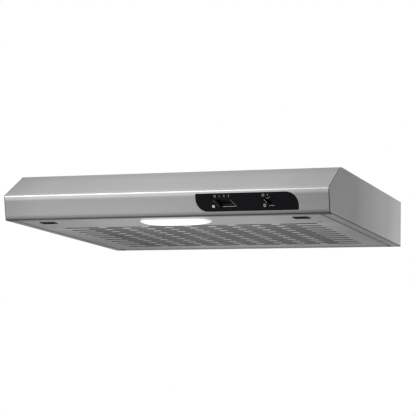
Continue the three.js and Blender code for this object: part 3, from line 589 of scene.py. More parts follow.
def well_outline(slider, grow):
    start, travel = slider
    return slanted(start - KNOB_HALF, start + travel + KNOB_HALF, grow)


# ---------------------------------------------------------------- where an outline's axes lie
def flat(a, b, c):
    return (a, b, c)


def across(a, b, c):
    return (c, a, b)


def on_fascia(a, b, c):
    """X across, b up along the fascia from the ridge, c straight out of it."""
    sine, cosine = sin(FASCIA_LEAN), cos(FASCIA_LEAN)
    return (a, FRONT - b * sine - c * cosine, RIDGE_Z + b * cosine - c * sine)


def upright(x, y, z=0.0):
    return lambda a, b, c: (x + a, y + b, z + c)


def lying_x(x, y, z):
    return lambda a, b, c: (x + c, y + a, z + b)


def lying_y(x, y, z):
    return lambda a, b, c: (x + a, y + c, z + b)


# ---------------------------------------------------------------- solid shapes
def bridge(bm, first, second):
    """Faces between two rings; either may be a single point."""
    count = max(len(first), len(second))
    for k in range(count):
        ring = [first[k % len(first)], first[(k + 1) % len(first)],
                second[(k + 1) % len(second)], second[k % len(second)]]
        corners = [vert for i, vert in enumerate(ring) if vert not in ring[:i]]
        bm.faces.new(corners)


def prism(outline, low, high, place=flat):
    bm = bmesh.new()
    foot = [bm.verts.new(place(a, b, low)) for a, b in outline]
    head = [bm.verts.new(place(a, b, high)) for a, b in outline]
    bm.faces.new(foot[::-1])
    bm.faces.new(head)
    bridge(bm, foot, head)
    return outward(bm)


def slab(x, y, half_x, half_y, radius, low, high):
    """A flat block with rounded upright edges, round a middle."""
    return prism(rectangle(x, y, half_x, half_y, radius), low, high)


def box(x0, x1, y0, y1, z0, z1):
    return prism([(x0, y0), (x1, y0), (x1, y1), (x0, y1)], z0, z1)


def lathe(profile, place=flat, segments=64):
    """Turns a (radius, height) profile; it starts and ends on the axis, or closes on itself."""
    bm = bmesh.new()
    rings = []
    turn = 2 * pi / segments
    for radius, height in profile:
        spokes = segments if radius > 0 else 1
        rings.append([bm.verts.new(place(*polar(radius, k * turn), height)) for k in range(spokes)])
    if profile[0][0] > 0:
        rings.append(rings[0])
    for first, second in zip(rings, rings[1:]):
        bridge(bm, first, second)
    return outward(bm)


def rod(radius, low, high, place=flat, segments=48, chamfer=0.0):
    if chamfer:
        return lathe([(0, low), (radius - chamfer, low), (radius, low + chamfer),
                      (radius, high - chamfer), (radius - chamfer, high), (0, high)], place, segments)
    return lathe([(0, low), (radius, low), (radius, high), (0, high)], place, segments)


def loft(rings):
    """A closed skin over rings of equal point counts."""
    bm = bmesh.new()
    rows = [[bm.verts.new(point) for point in ring] for ring in rings]
    for first, second in zip(rows, rows[1:]):
        bridge(bm, first, second)
    bm.faces.new(rows[0][::-1])
    bm.faces.new(rows[-1])
    return outward(bm)


def with_ends(knots):
    """The knots of a curve, and one more past each end."""
    knots = [Vector(knot) for knot in knots]
    return [2 * knots[0] - knots[1], *knots, 2 * knots[-1] - knots[-2]]


def smooth_path(knots, steps):
    """A Catmull-Rom curve through the knots."""
    ends = with_ends(knots)
    points = []
    for a, b, c, d in zip(ends, ends[1:], ends[2:], ends[3:]):
        for t in (k / steps for k in range(steps)):
            points.append(0.5 * (2 * b + (c - a) * t + (2 * a - 5 * b + 4 * c - d) * t ** 2
                                 + (3 * b - a - 3 * c + d) * t ** 3))
    return points + [ends[-2]]


def centripetal(knots, steps):
    """A centripetal Catmull-Rom curve through the knots, which keeps out of loops."""
    ends = with_ends(knots)
    points = []
    for a, b, c, d in zip(ends, ends[1:], ends[2:], ends[3:]):
        t = [0.0]
        for near, far in ((a, b), (b, c), (c, d)):
            t.append(t[-1] + (far - near).length ** 0.5)
        for s in (t[1] + (t[2] - t[1]) * k / steps for k in range(steps)):
            p = [a.lerp(b, s / t[1]), b.lerp(c, (s - t[1]) / (t[2] - t[1])),
                 c.lerp(d, (s - t[2]) / (t[3] - t[2]))]
            q = [p[0].lerp(p[1], s / t[2]), p[1].lerp(p[2], (s - t[1]) / (t[3] - t[1]))]
            points.append(q[0].lerp(q[1], (s - t[1]) / (t[2] - t[1])))
    return points + [ends[-2]]


def sweep(points, radius, sides):
    """A round bar along a path, with softened ends."""
    points = [Vector(point) for point in points]
    last = len(points) - 1
    rings = []
    for i, point in enumerate(points):
        tangent = (points[min(i + 1, last)] - points[max(i - 1, 0)]).normalized()
        normal = normal if i else tangent.orthogonal().normalized()
        normal = (normal - tangent * normal.dot(tangent)).normalized()
        side = tangent.cross(normal)
        stops = [(point, radius)]
        if i == 0:
            stops = [(point, radius * 0.7), (point + tangent * radius * 0.3, radius)]
        if i == last:
            stops = [(point - tangent * radius * 0.3, radius), (point, radius * 0.7)]
        for centre, size in stops:
            rings.append([centre + size * (cos(t) * normal + sin(t) * side)
                          for t in (k * 2 * pi / sides for k in range(sides))])
    return loft(rings)


def outward(bm):
    bmesh.ops.recalc_face_normals(bm, faces=bm.faces[:])
    return bm


def as_mesh(shape, name="solid"):
    mesh = bpy.data.meshes.new(name)
    shape.to_mesh(mesh)
    shape.free()
    return mesh


def evaluated(obj):
    """The shape of an object with its modifiers applied, or of a line of text."""
    bpy.context.view_layer.update()
    graph = bpy.context.evaluated_depsgraph_get()
    mesh = bpy.data.meshes.new_from_object(obj.evaluated_get(graph))
    shape = bmesh.new()
    shape.from_mesh(mesh)
    bpy.data.meshes.remove(mesh)
    return shape


def merged(*shapes):
    """Several separate shapes as one."""
    whole = bmesh.new()
    for shape in shapes:
        mesh = as_mesh(shape)
        whole.from_mesh(mesh)
        bpy.data.meshes.remove(mesh)
    return whole


def combine(first, others, operation):
    """Cuts closed shapes out of the first one, or joins them to it."""
    helpers = [add_object("solid", as_mesh(shape)) for shape in (first, *others)]
    for other in helpers[1:]:
        step = helpers[0].modifiers.new("step", "BOOLEAN")
        step.operation = operation
        step.solver = "MANIFOLD"
        step.object = other
    result = evaluated(helpers[0])
    for helper in helpers:
        mesh = helper.data
        bpy.data.objects.remove(helper)
        bpy.data.meshes.remove(mesh)
    return result


def cut(shape, *tools):
    return combine(shape, tools, "DIFFERENCE")


def join(shape, *others):
    return combine(shape, others, "UNION")


# ---------------------------------------------------------------- placing the pieces
def soften(obj, width):
    """Rounds the sharp edges by a width in millimetres and shades the rest smoothly."""
    if width:
        edge = obj.modifiers.new("edge", "BEVEL")
        edge.width = width * MM
        edge.segments = 2
        edge.limit_method = "ANGLE"
        edge.angle_limit = SMOOTH_ANGLE
        edge.miter_outer = "MITER_ARC"
    normals = obj.modifiers.new("normals", "WEIGHTED_NORMAL")
    normals.keep_sharp = True


def piece(name, shape, bevel=0.2, body=None, material=None):
    """Writes a shape in millimetres: the CAD node of that name, or with a body a further piece."""
    outward(shape)
    bmesh.ops.scale(shape, vec=(MM, MM, MM), verts=shape.verts[:])
    mesh = as_mesh(shape, name)
    mesh.polygons.foreach_set("use_smooth", [True] * len(mesh.polygons))
    if not bevel:
        mesh.set_sharp_from_angle(angle=SMOOTH_ANGLE)
    obj = add_object(name, mesh)
    mesh.materials.append(material or finish_for(name))
    soften(obj, bevel)
    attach(obj, body or body_of[name])
    if not body:
        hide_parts(name)
    return obj


def keep_node(name):
    """Carries a CAD node over with rounded edges and its procedural finish."""
    obj = frame["nodes"][name]
    flats = obj.modifiers.new("flats", "DECIMATE")
    flats.decimate_type = "DISSOLVE"
    flats.angle_limit = radians(1)
    soften(obj, 0.25)


def second_finish(obj, finish, chosen):
    """Gives the faces that a test picks a second material."""
    obj.data.materials.append(materials[finish])
    for face in obj.data.polygons:
        if chosen(face):
            face.material_index = 1


def roll_edges(shape, radius, chosen):
    """Rounds the edges whose two ends both pass a test."""
    edges = [edge for edge in shape.edges if all(chosen(vert.co) for vert in edge.verts)]
    bmesh.ops.bevel(shape, geom=edges, offset=radius, segments=5, profile=0.5, affect="EDGES")


# ---------------------------------------------------------------- sheet-metal body
def make_front_panel():
    path = [(SEAM_Y, TOP - SEAM_DEPTH), (SEAM_Y, TOP, 1.5), (CHAMFER_Y, TOP, CHAMFER_RADIUS),
            (FRONT, RIDGE_Z, RIDGE_RADIUS), (FASCIA_Y, UNDER, HEM_RADIUS),
            (HEM_Y, UNDER, HEM_RADIUS), (HEM_Y, UNDER + HEM_HEIGHT)]
    sheet = prism(bent_sheet(path, steps=14), -INNER, INNER - SEAM_GAP, across)
    opening = prism(leaf(0.4), -4, 4, on_fascia)
    piece("front_panel", cut(sheet, opening), bevel=0.35)


def make_side_panel(side, sign):
    profile = rounded([(BACK, TOP), (CHAMFER_Y, TOP, CHAMFER_RADIUS), (FRONT, RIDGE_Z, RIDGE_RADIUS),
                       (FASCIA_Y, UNDER, HEM_RADIUS), (BACK, UNDER)], 14)
    block = prism(profile, *span(HALF - SIDE_FLANGE, HALF, sign), across)
    roll_edges(block, 1.3, lambda co: abs(co.z - UNDER) < 0.01 and abs(co.x - sign * HALF) < 0.01)
    inside = span(0, HALF - SHEET, sign)
    sheet = cut(block,
                box(*inside, FRONT - 1, BACK + 1, UNDER + SHEET, 1),
                box(*inside, FRONT - 1, HEM_Y + 0.6, UNDER - 1, 1),
                box(*inside, BACK - SHEET - GAP, BACK + 1, UNDER - 1, 1))
    panel = piece(f"side_panel_{side}", sheet, bevel=0.3)
    # The downward faces take a copy of the steel with its own painted shade.
    second_finish(panel, "stainless_flange",
                  lambda face: face.normal.z < -0.9 and face.center.z < (UNDER + 0.5) * MM)


# ---------------------------------------------------------------- controls
def make_control_panel():
    shell = join(prism(leaf(0), -2.6, PANEL_FACE, on_fascia),
                 prism(leaf(2.3), -3, -SHEET - GAP, on_fascia))
    wells = [prism(well_outline(slider, 0.4), -6, 6, on_fascia)
             for slider in (FAN_SLIDER, LIGHT_SLIDER)]
    piece("control_panel", cut(shell, *wells), bevel=0.3)


def make_knob(name, slider):
    """A slanted bar with a finger groove, on a base that closes the well behind it."""
    left, right = slider[0] - KNOB_HALF, slider[0] + KNOB_HALF
    middle = slider[0] + WELL_SLANT / 2
    bar = prism(slanted(left, right, 0), -4, KNOB_FACE, on_fascia)
    groove = prism(slanted(left + 2, right - 2, -0.8, 0.3), 1.8, 3, on_fascia)
    base = prism(slanted(left, right, 2), -5, -3.3, on_fascia)
    peg = prism(rectangle(middle, WELL_LEVEL, 1.5, 1.5, 0.4), -10, -3.6, on_fascia)
    piece(name, cut(join(bar, base, peg), groove), bevel=0.35)


def make_slider_shield():
    """A thin black sheet behind the slider wells, slotted for the two knobs' pegs."""
    x, half_x, half_y, back, face = SHIELD.values()
    slots = []
    for start, travel in (FAN_SLIDER, LIGHT_SLIDER):
        middle = start + WELL_SLANT / 2 + travel / 2
        outline = rectangle(middle, WELL_LEVEL, travel / 2 + 1.9, 1.7, 0.5)
        slots.append(prism(outline, back - 1.2, face + 1.25, on_fascia))
    sheet = prism(rectangle(x, WELL_LEVEL, half_x, half_y, 2), back, face, on_fascia)
    # Its black is lightened, as painted light against the shade in the wells.
    piece("slider_shield", cut(sheet, merged(*slots)), bevel=0, body="housing",
          material=materials["shield_black"])


def print_piece(name, shape, body="housing"):
    piece(name, shape, bevel=0, body=body, material=materials["print_grey"])


def printed(name, outline, body="housing", face=PANEL_FACE):
    """A flat grey mark on the control panel's face, or on a knob's; it serves for the print and for the
    painted highlights along the wells.
    """
    print_piece(name, prism(outline, face, face + PRINT_DEPTH, on_fascia), body)


def stroke(points, width):
    """A flat line through points, as a closed outline."""
    points = [Vector(point) for point in points]
    left, right = [], []
    for i, point in enumerate(points):
        tangent = (points[min(i + 1, len(points) - 1)] - points[max(i - 1, 0)]).normalized()
        side = Vector((-tangent.y, tangent.x)) * width / 2
        left.append(tuple(point + side))
        right.append(tuple(point - side))
    return left + right[::-1]


def make_digit(name, text, x):
    curve = bpy.data.curves.new("digit", "FONT")
    curve.body = text
    curve.size = DIGIT_HEIGHT * 1.37     # a capital is 0.73 of the letter size
    curve.align_x, curve.align_y = "CENTER", "CENTER"
    curve.extrude = PRINT_DEPTH / 2
    helper = add_object("digit", curve)
    shape = evaluated(helper)
    bpy.data.objects.remove(helper)
    bmesh.ops.remove_doubles(shape, verts=shape.verts[:], dist=0.0005)
    for vert in shape.verts:
        a, b, c = vert.co
        vert.co = on_fascia(x + a, DIGIT_LEVEL + b, PANEL_FACE + PRINT_DEPTH / 2 + c)
    print_piece(name, shape)


def ring_outline(x, y, radius, width):
    """A broken ring, open by a hair, so that it stays a single outline."""
    return stroke([polar(radius, k * pi / 24, x, y) for k in range(47)], width)


def make_prints():
    """Numbers over the two sliders, an icon under each, and the painted highlights along the wells."""
    fan_pitch = FAN_SLIDER[1] / (FAN_STEPS - 1)
    printed("print_fan_0", ring_outline(FAN_SLIDER[0], DIGIT_LEVEL, 1.7, 0.55))
    for k in range(1, FAN_STEPS):
        make_digit(f"print_fan_{k}", str(k), FAN_SLIDER[0] + k * fan_pitch)
    printed("print_light_0", ring_outline(LIGHT_SLIDER[0] + 1.2, DIGIT_LEVEL, 1.8, 0.6))
    make_digit("print_light_1", "1", LIGHT_SLIDER[0] + LIGHT_SLIDER[1])
    printed("print_fan_icon", rectangle(*FAN_ICON, 2.2, 2.2, 0.5))
    x, y = LIGHT_ICON
    printed("print_light_icon", ring_outline(x, y, 1.8, 1.0))
    printed("print_light_icon_base", stroke([(x - 1.0, y - 2.8), (x + 1.0, y - 2.8)], 0.9))
    printed("print_light_zigzag", stroke(ZIGZAG, 0.55))
    make_well_lines()


def make_well_lines():
    """Grey lines beside the slider wells, as painted highlights where light catches the wells' walls and
    a knob's edge: under each, at both ends of the fan's, and on one knob.
    """
    slope = WELL_SLANT / (WELL_TOP - WELL_BOTTOM)
    low = WELL_BOTTOM - 0.85
    for name, slider, gap, past in (("fan", FAN_SLIDER, 2.5, 0.9), ("light", LIGHT_SLIDER, -1, 0.0)):
        left = slider[0] + KNOB_HALF + WELL_SLANT + gap
        right = slider[0] + slider[1] + KNOB_HALF + WELL_SLANT + past
        printed(f"print_{name}_lower", stroke([(left, low), (right, low)], 0.45))
    left, right = FAN_SLIDER[0] - KNOB_HALF, sum(FAN_SLIDER) + KNOB_HALF
    for end, x in (("left", left - 0.7), ("right", right + 0.65)):
        line = [(x, WELL_TOP), (x + (WELL_TOP - low) * slope, low)]
        printed(f"print_fan_{end}", stroke(line, 0.28))
    x, high, low = LIGHT_SLIDER[0] + KNOB_HALF - 0.5, WELL_TOP - 1, WELL_BOTTOM + 3.5
    line = [(x + slope, high), (x + (WELL_TOP - low) * slope, low)]
    # A painted highlight along the light knob's edge, on the knob itself.
    printed("print_light_knob", stroke(line, 0.35), "light_knob", KNOB_FACE)


# ---------------------------------------------------------------- grille and what it carries
def slot_tools():
    shapes = []
    for row in range(SLOT_ROWS):
        slots = SLOTS_PER_ROW - row % 2
        for k in range(slots):
            x = (k - (slots - 1) / 2) * SLOT_PITCH_X
            y = SLOT_FIRST_Y + row * SLOT_PITCH_Y
            outline = rectangle(x, y, SLOT_LENGTH / 2, SLOT_WIDTH / 2, SLOT_WIDTH / 2 - 0.01, 8)
            shapes.append(prism(outline, *THROUGH_GRILLE))
    return merged(*shapes)


def lens_ring(share, grow, z=0.0):
    def bent(value):
        return math.copysign(abs(value) ** (2 / LENS["power"]), value)
    half_x, half_y = LENS["half_length"] * share + grow, LENS["half_width"] * share + grow
    return [(LENS["x"] + half_x * bent(cos(t)), LENS["y"] + half_y * bent(sin(t)), z)
            for t in (k * (2 * pi / 144) for k in range(144))]


def make_grille():
    """A shallow tray with folded edges, rounded along its lower corners."""
    middle, reach = (GRILLE_FRONT + GRILLE_BACK) / 2, (GRILLE_BACK - GRILLE_FRONT) / 2
    half = GRILLE_HALF - GRILLE_RELIEF
    tray = slab(0, middle, half, reach, 2.0, UNDER, UNDER + GRILLE_EDGE)
    roll_edges(tray, 1.4, lambda co: abs(co.z - UNDER) < 0.01)
    hollow = slab(0, middle, half - SHEET, reach - SHEET, 1.0, UNDER + GRILLE_SHEET,
                  UNDER + GRILLE_EDGE + 1)
    openings = [prism([point[:2] for point in lens_ring(1, 0.4)], *THROUGH_GRILLE)]
    for _, sign in SIDES:
        x = sign * LATCH["x"]
        openings += [slab(x, LATCH["y"], LATCH["half_x"] - 1, LATCH["half_y"] - 1, 0.5, *THROUGH_GRILLE),
                     rod(3, *THROUGH_GRILLE, upright(sign * RIVET_HOLE[0], RIVET_HOLE[1])),
                     box(x - LATCH["window"], x + LATCH["window"], GRILLE_FRONT - 2, GRILLE_FRONT + 3,
                         UNDER + 2, UNDER + 7)]
    bore = hinge_rod(PIN_RADIUS + GAP, (-HALF, HALF))
    grille = piece("grille_panel", cut(tray, hollow, slot_tools(), merged(*openings), bore), bevel=0.12)
    # The walls of the holes take the steel with painted shade.
    second_finish(grille, "stainless_edge", is_punched)


def is_punched(face):
    """The walls of the holes in the grille, clear of its folded edges."""
    inside = abs(face.center.x) < (GRILLE_HALF - 3) * MM
    clear = (GRILLE_FRONT + 3) * MM < face.center.y < (GRILLE_BACK - 3) * MM
    return inside and clear and abs(face.normal.z) < 0.5


def make_lens():
    """A pressed white cover: a flange on the sheet, a straight skirt and a flat dome."""
    def dome(inset):
        angles = [k * radians(86) / 14 for k in range(15)]
        return [lens_ring(cos(t), -inset,
                          UNDER - LENS["skirt"] - LENS["dome"] * sin(t) + inset) for t in angles]
    wall, rim = LENS["wall"], UNDER + LENS["rim"]
    outer = [lens_ring(1, LENS["flange"], rim), lens_ring(1, LENS["flange"], ON_GRILLE),
             lens_ring(1, 0, ON_GRILLE)]
    inner = [*dome(wall)[::-1], lens_ring(1, -wall, rim)]
    piece("lamp_lens", loft(inner + outer + dome(0)), bevel=0)


def make_latch(side, x):
    """A spring catch: the guide is fixed in the grille and the slider's tongue passes the hem."""
    y, half_x, half_y, margin = (LATCH[key] for key in ("y", "half_x", "half_y", "rim"))
    window, tongue_half = LATCH["window"], LATCH["tongue"]
    well_x, well_y = half_x - margin, half_y - margin
    y0, y1 = y - half_y + margin, y + half_y - margin
    roof, rim = UNDER + 8, UNDER - GAP
    frame_plate = slab(x, y, half_x, half_y, 1.6, rim - 0.6, rim)
    tub = slab(x, y, well_x + 1.1, well_y + 1.1, 0.8, rim - 0.3, roof + 1)
    guide = cut(join(frame_plate, tub),
                slab(x, y, well_x, well_y, 0.6, rim - 5, roof),
                box(x - window, x + window, y0 - 4, y0 + 2, UNDER + 2.4, UNDER + 6.4))
    piece(f"latch_guide_{side}", guide, bevel=0.25)

    plate_y = y0 + GAP
    plate = box(x - well_x + 0.4, x + well_x - 0.4, plate_y, plate_y + LATCH["slider"],
                UNDER + 1.6, UNDER + 4.2)
    rib = box(x - 9, x + 9, plate_y + 5, plate_y + 7.4, UNDER - 0.6, UNDER + 2)
    grips = [box(x - 8, x + 8, grip - 0.3, grip + 0.3, UNDER + 1.2, UNDER + 2)
             for grip in (plate_y + 1.2, plate_y + 2.4, plate_y + 3.6)]
    tongue = box(x - tongue_half, x + tongue_half, HEM_Y + 0.4, plate_y + 1, UNDER + 2.8, UNDER + 5.4)
    post = box(x - 3, x + 3, plate_y + 0.4, plate_y + 2.4, UNDER + 4, roof - 0.4)
    piece(f"latch_slider_{side}", join(plate, rib, *grips, tongue, post), bevel=0.25)

    start, end = plate_y + 2.4 + GAP, y1 - GAP
    steps, per_turn, radius = 120, 20, 1.3
    coil = []
    for k in range(steps + 1):
        a, c = polar(radius, 2 * pi * k / per_turn, x, UNDER + 6)
        coil.append((a, start + 0.3 + (end - start - 0.6) * k / steps, c))
    spring = piece(f"latch_spring_{side}", sweep(coil, 0.28, 8), bevel=0)
    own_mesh(spring)


def hinge_rod(radius, ends, chamfer=0.0):
    return rod(radius, *ends, lying_x(0, HINGE_Y, HINGE_Z), chamfer=chamfer)


def make_hinge(side, sign):
    block = box(*span(HALF - 13, INNER, sign), HINGE_Y - 8, HINGE_Y + 8, ON_GRILLE, UNDER + 12)
    bore = hinge_rod(PIN_RADIUS + GAP, (-HALF, HALF))
    piece(f"hinge_bracket_{side}", cut(block, bore), bevel=0.6)
    pin = join(hinge_rod(PIN_RADIUS, span(GRILLE_HALF - 8, HALF - 4, sign), 0.4),
               hinge_rod(3.4, span(GRILLE_HALF - 4, GRILLE_HALF - SHEET - GAP, sign), 0.4))
    piece(f"hinge_pin_{side}", pin, bevel=0)


def make_filter():
    """Layers of knitted mesh in a folded frame, held on the grille by two wires."""
    low, high = ON_GRILLE, ON_GRILLE + FILTER_DEPTH
    y0 = SLOT_FIRST_Y - FILTER_MARGIN
    y1 = SLOT_FIRST_Y + (SLOT_ROWS - 1) * SLOT_PITCH_Y + FILTER_MARGIN
    border, half = FILTER_BORDER, FILTER_HALF
    middle, reach = (y0 + y1) / 2, (y1 - y0) / 2
    mitres = []
    for a, b in ((-1, -1), (-1, 1), (1, -1), (1, 1)):
        inside = Vector((a * (half - border), middle + b * (reach - border)))
        corner = inside + Vector((a, b)) * border
        seam = stroke([inside, corner], 0.4)
        mitres += [prism(seam, low - 1, low + 0.3), prism(seam, high - 0.3, high + 1)]
    rail = cut(slab(0, middle, half, reach, 1.0, low, high),
               slab(0, middle, half - border, reach - border, 1.5, low - 1, high + 1), *mitres)
    piece("filter_frame", rail, bevel=0.5)

    edge = border + GAP
    piece("filter_mesh", knit_pad(half - edge, y0 + edge, y1 - edge, low + 0.8, high - 1.5), bevel=0)

    rest, reach_x = high + GAP + FILTER_WIRE, half + 8
    for name, y in (("front", y0 + WIRE_INSET), ("rear", y1 - WIRE_INSET)):
        bend = rounded([(-reach_x, low), (-reach_x, rest, 3), (reach_x, rest, 3), (reach_x, low)], 8)
        wire = sweep([(a, y, b) for a, b in bend], FILTER_WIRE, 16)
        piece(f"filter_wire_{name}", wire, bevel=0)


def knit_pad(half, y0, y1, low, high):
    """A pad whose two faces are pressed into rows of diamonds."""
    columns, rows = round(2 * half / KNIT_STEP), round((y1 - y0) / KNIT_STEP)
    bm = bmesh.new()
    grids = []
    for face, inward in ((low, 1), (high, -1)):
        grid = []
        for j in range(rows + 1):
            line = []
            for i in range(columns + 1):
                a, b = i * pi / 4, j * pi / 2
                dip = KNIT_DEPTH * (0.5 - 0.5 * cos(a + b) * cos(a - b))
                line.append(bm.verts.new((-half + 2 * half * i / columns, y0 + (y1 - y0) * j / rows,
                                          face + inward * dip)))
            grid.append(line)
        for j in range(rows):
            for i in range(columns):
                bm.faces.new((grid[j][i], grid[j][i + 1], grid[j + 1][i + 1], grid[j + 1][i]))
        grids.append(grid)
    rims = [grid[0][:-1] + [line[-1] for line in grid[:-1]] + grid[-1][:0:-1]
            + [line[0] for line in grid[:0:-1]] for grid in grids]
    bridge(bm, *rims)
    return outward(bm)


# ---------------------------------------------------------------- lamp
def make_reflector():
    """A trough over the lamp, and the strap that hangs it from the top panel."""
    x, y = LENS["x"], LENS["y"]
    half_x, half_y, rise, strap_half = REFLECTOR.values()
    foot, roof = UNDER + 10, LAMP_Z + rise
    trough = [(y - half_y, foot), (y - half_y, roof, 6), (y + half_y, roof, 6), (y + half_y, foot)]
    piece("lamp_reflector", prism(bent_sheet(trough, -SHEET), x - half_x, x + half_x, across))

    over, riser = roof + SHEET + GAP + SHEET, SEAM_Y + 8
    strap = [(y - 12, over), (riser, over, 2), (riser, CEILING, 2), (riser + 18, CEILING)]
    bracket = prism(bent_sheet(strap, -SHEET), x - strap_half, x + strap_half, across)
    holes = [rod(SCREW_HOLE, over - 3, over + 3, upright(x + a, y + 4)) for a in (-12, 12)]
    piece("lamp_bracket", cut(bracket, *holes))


def make_bulb():
    """A pear-shaped bulb lying along the trough, with a screw cap."""
    axis = lying_x(BULB_X, LENS["y"], LAMP_Z)
    silhouette = [(6.4, 21), (6.9, 24), (8.5, 28), (11.2, 35), (14, 42), (16.2, 49), (17, 56), (17, 62),
                  (16.6, 68), (15.4, 74), (13.5, 80), (11, 85.5), (8, 90), (5.4, 93.6), (3, 96),
                  (1.4, 97.4)]
    piece("lamp_bulb", lathe([(0, 20.5), *smooth_path(silhouette, 4), (0, 98)], axis), bevel=0)
    thread = [(6.45 + 0.35 * cos(2 * pi * (h - 2) / 3.6), h)
              for h in (2.0 + 18.4 * k / 52 for k in range(53))]
    cap = lathe([(0, 0), (3.2, 0), (5.5, 1), *thread, (0, 20.4)], axis)
    piece("lamp_bulb_cap", cap, bevel=0, body=body_of["lamp_bulb"],
          material=materials["bright_steel"])


def make_lamp_holder():
    """A ribbed ceramic socket round the cap."""
    wall = [(9, 0), (10.6, 0.8), (11.5, 3)]
    for h in (6 + 3.6 * k for k in range(5)):
        wall += [(11.5, h), (10.9, h + 0.5), (10.9, h + 1.3), (11.5, h + 1.8)]
    wall += [(11.5, 26), (7.4, 26), (7.4, 4), (0, 4)]
    piece("lamp_holder", lathe([(0, 0), *wall], lying_x(HOLDER_X, LENS["y"], LAMP_Z)), bevel=0.3)


# ---------------------------------------------------------------- blower
def on_fan(a, b, c):
    return (FAN["x"] + a, FAN["y"] + b, c)


def scroll_radius(degrees):
    return FAN["start"] + (FAN["end"] - FAN["start"]) * (SPIRAL_START - degrees) / SPIRAL_TURN


def round_fan(radius, degrees):
    return polar(radius, radians(degrees), FAN["x"], FAN["y"])


def housing_plan(inset):
    """A spiral round the impeller that leads into the outlet box."""
    spiral = [round_fan(scroll_radius(d) - inset, d)
              for d in range(SPIRAL_START, SPIRAL_START - SPIRAL_TURN - 1, -3)]
    left, right = OUTLET["left"] + inset, OUTLET["right"] - inset
    front, back = OUTLET["front"] + inset, OUTLET["back"] - inset
    return spiral + [(OUTLET["throat"], FAN["y"] + FAN["end"] - inset), (left, back), (right, back),
                     (right, front), (left, front), (OUTLET["throat"], OUTLET["lip"] + inset)]


def housing_ears():
    return [round_fan(scroll_radius(d) + EAR_OUT, d) for d in (-70, -185)] + [
        (OUTLET["right"] + EAR_OUT, OUTLET["back"] - EAR_IN),
        (OUTLET["right"] + EAR_OUT, OUTLET["front"] + EAR_IN)]


def bush_places():
    return [round_fan(BUSH_CIRCLE, d) for d in (30, 150, 270)]


def make_blower_housing():
    tub = prism(housing_plan(0), HOUSING_FLOOR, LID_UNDER - GAP)
    hollow = prism(housing_plan(HOUSING_WALL), HOUSING_FLOOR + HOUSING_WALL, 0)
    inlet = rod(INLET_RADIUS, HOUSING_FLOOR - 5, HOUSING_FLOOR + 15, on_fan, 96)
    piece("blower_housing_lower", cut(tub, hollow, inlet), bevel=0.5)

    ears = housing_ears()
    lid = prism(housing_plan(0), LID_UNDER, LID_Z)
    feet = [rod(EAR_RADIUS, LID_UNDER, LID_Z, upright(*ear)) for ear in ears]
    bosses = [rod(BOSS_RADIUS, LID_Z - 1, CEILING, upright(*ear)) for ear in ears]
    holes = [rod(DUCT["radius"] - 4, *THROUGH_LID, upright(DUCT["x"], DUCT["y"]), 96),
             rod(3.2, *THROUGH_LID, upright(*LEAD_HOLE))]
    holes += [rod(SCREW_HOLE, *THROUGH_LID, upright(*ear), 24) for ear in ears]
    holes += [rod(2, *THROUGH_LID, upright(*bush), 24) for bush in bush_places()]
    piece("blower_housing_upper", cut(join(lid, *feet, *bosses), *holes), bevel=0.4)
    for i, ear in enumerate(ears):
        make_blower_screw(f"blower_screw_{i + 1}", *ear)


def make_blower_screw(name, x, y):
    """A cross-recessed screw, put in from below."""
    foot = LID_UNDER - GAP - 2
    place = upright(x, y)
    head = lathe(raised([(0, 0), (1.6, 0.05), (2.4, 0.35), (3, 1.1), (3, 2), (0, 2)], foot), place)
    thread = [(1.42 + 0.08 * cos(pi * k), foot + 1 + 8.5 * k / 28) for k in range(29)]
    shank = lathe([(0, foot + 1), *thread, (0, foot + 9.5)], place, 24)
    recess = [slab(x, y, a, b, 0.1, foot - 1, foot + 0.9) for a, b in ((1.5, 0.3), (0.3, 1.5))]
    piece(name, cut(join(head, shank), *recess), bevel=0)


def make_motor():
    foot = LID_UNDER - GAP - 2.3
    bush = raised([(0, 0), (4.1, 0), (4.5, 0.4), (4.5, 0.8), (3.7, 1.0), (3.7, 1.4), (4.5, 1.6),
                   (4.5, 1.9), (4.1, 2.3), (0, 2.3)], foot)
    for i, (x, y) in enumerate(bush_places()):
        piece(f"motor_bush_{i + 1}", lathe(bush, upright(x, y)), bevel=0)
    mount = foot - GAP
    flange = mount - MOTOR_FLANGE
    can = raised([(0, -MOTOR_LENGTH), (13.2, -MOTOR_LENGTH), (14, -21.7), (15.6, -20.4), (17, -20),
                  (34.5, -19.2), (37.6, -18), (39.4, -16), (40, -13.5), (40, -11), (39.5, -10.6),
                  (39.5, -9.6), (40, -9.2), (40, -1), (40.5, -0.3), (42, 0)], flange)
    vents = []
    for turn in (2 * pi * k / 10 for k in range(10)):
        outline = [(a * cos(turn) - b * sin(turn), a * sin(turn) + b * cos(turn))
                   for a, b in rectangle(26, 0, 6, 1.8, 1.7)]
        vents.append(prism(outline, flange - 24, flange - 16, on_fan))
    body = cut(lathe([*can, (42, mount), (0, mount)], on_fan, 96), merged(*vents))
    piece("fan_motor", body, bevel=0.3)

    top = flange - MOTOR_LENGTH - GAP
    shaft = rod(4, top - 14, top, on_fan, chamfer=0.6)
    flat_cut = box(FAN["x"] + 3.4, FAN["x"] + 6, FAN["y"] - 5, FAN["y"] + 5, top - 15, top - 9)
    piece("motor_shaft", cut(shaft, flat_cut), bevel=0)


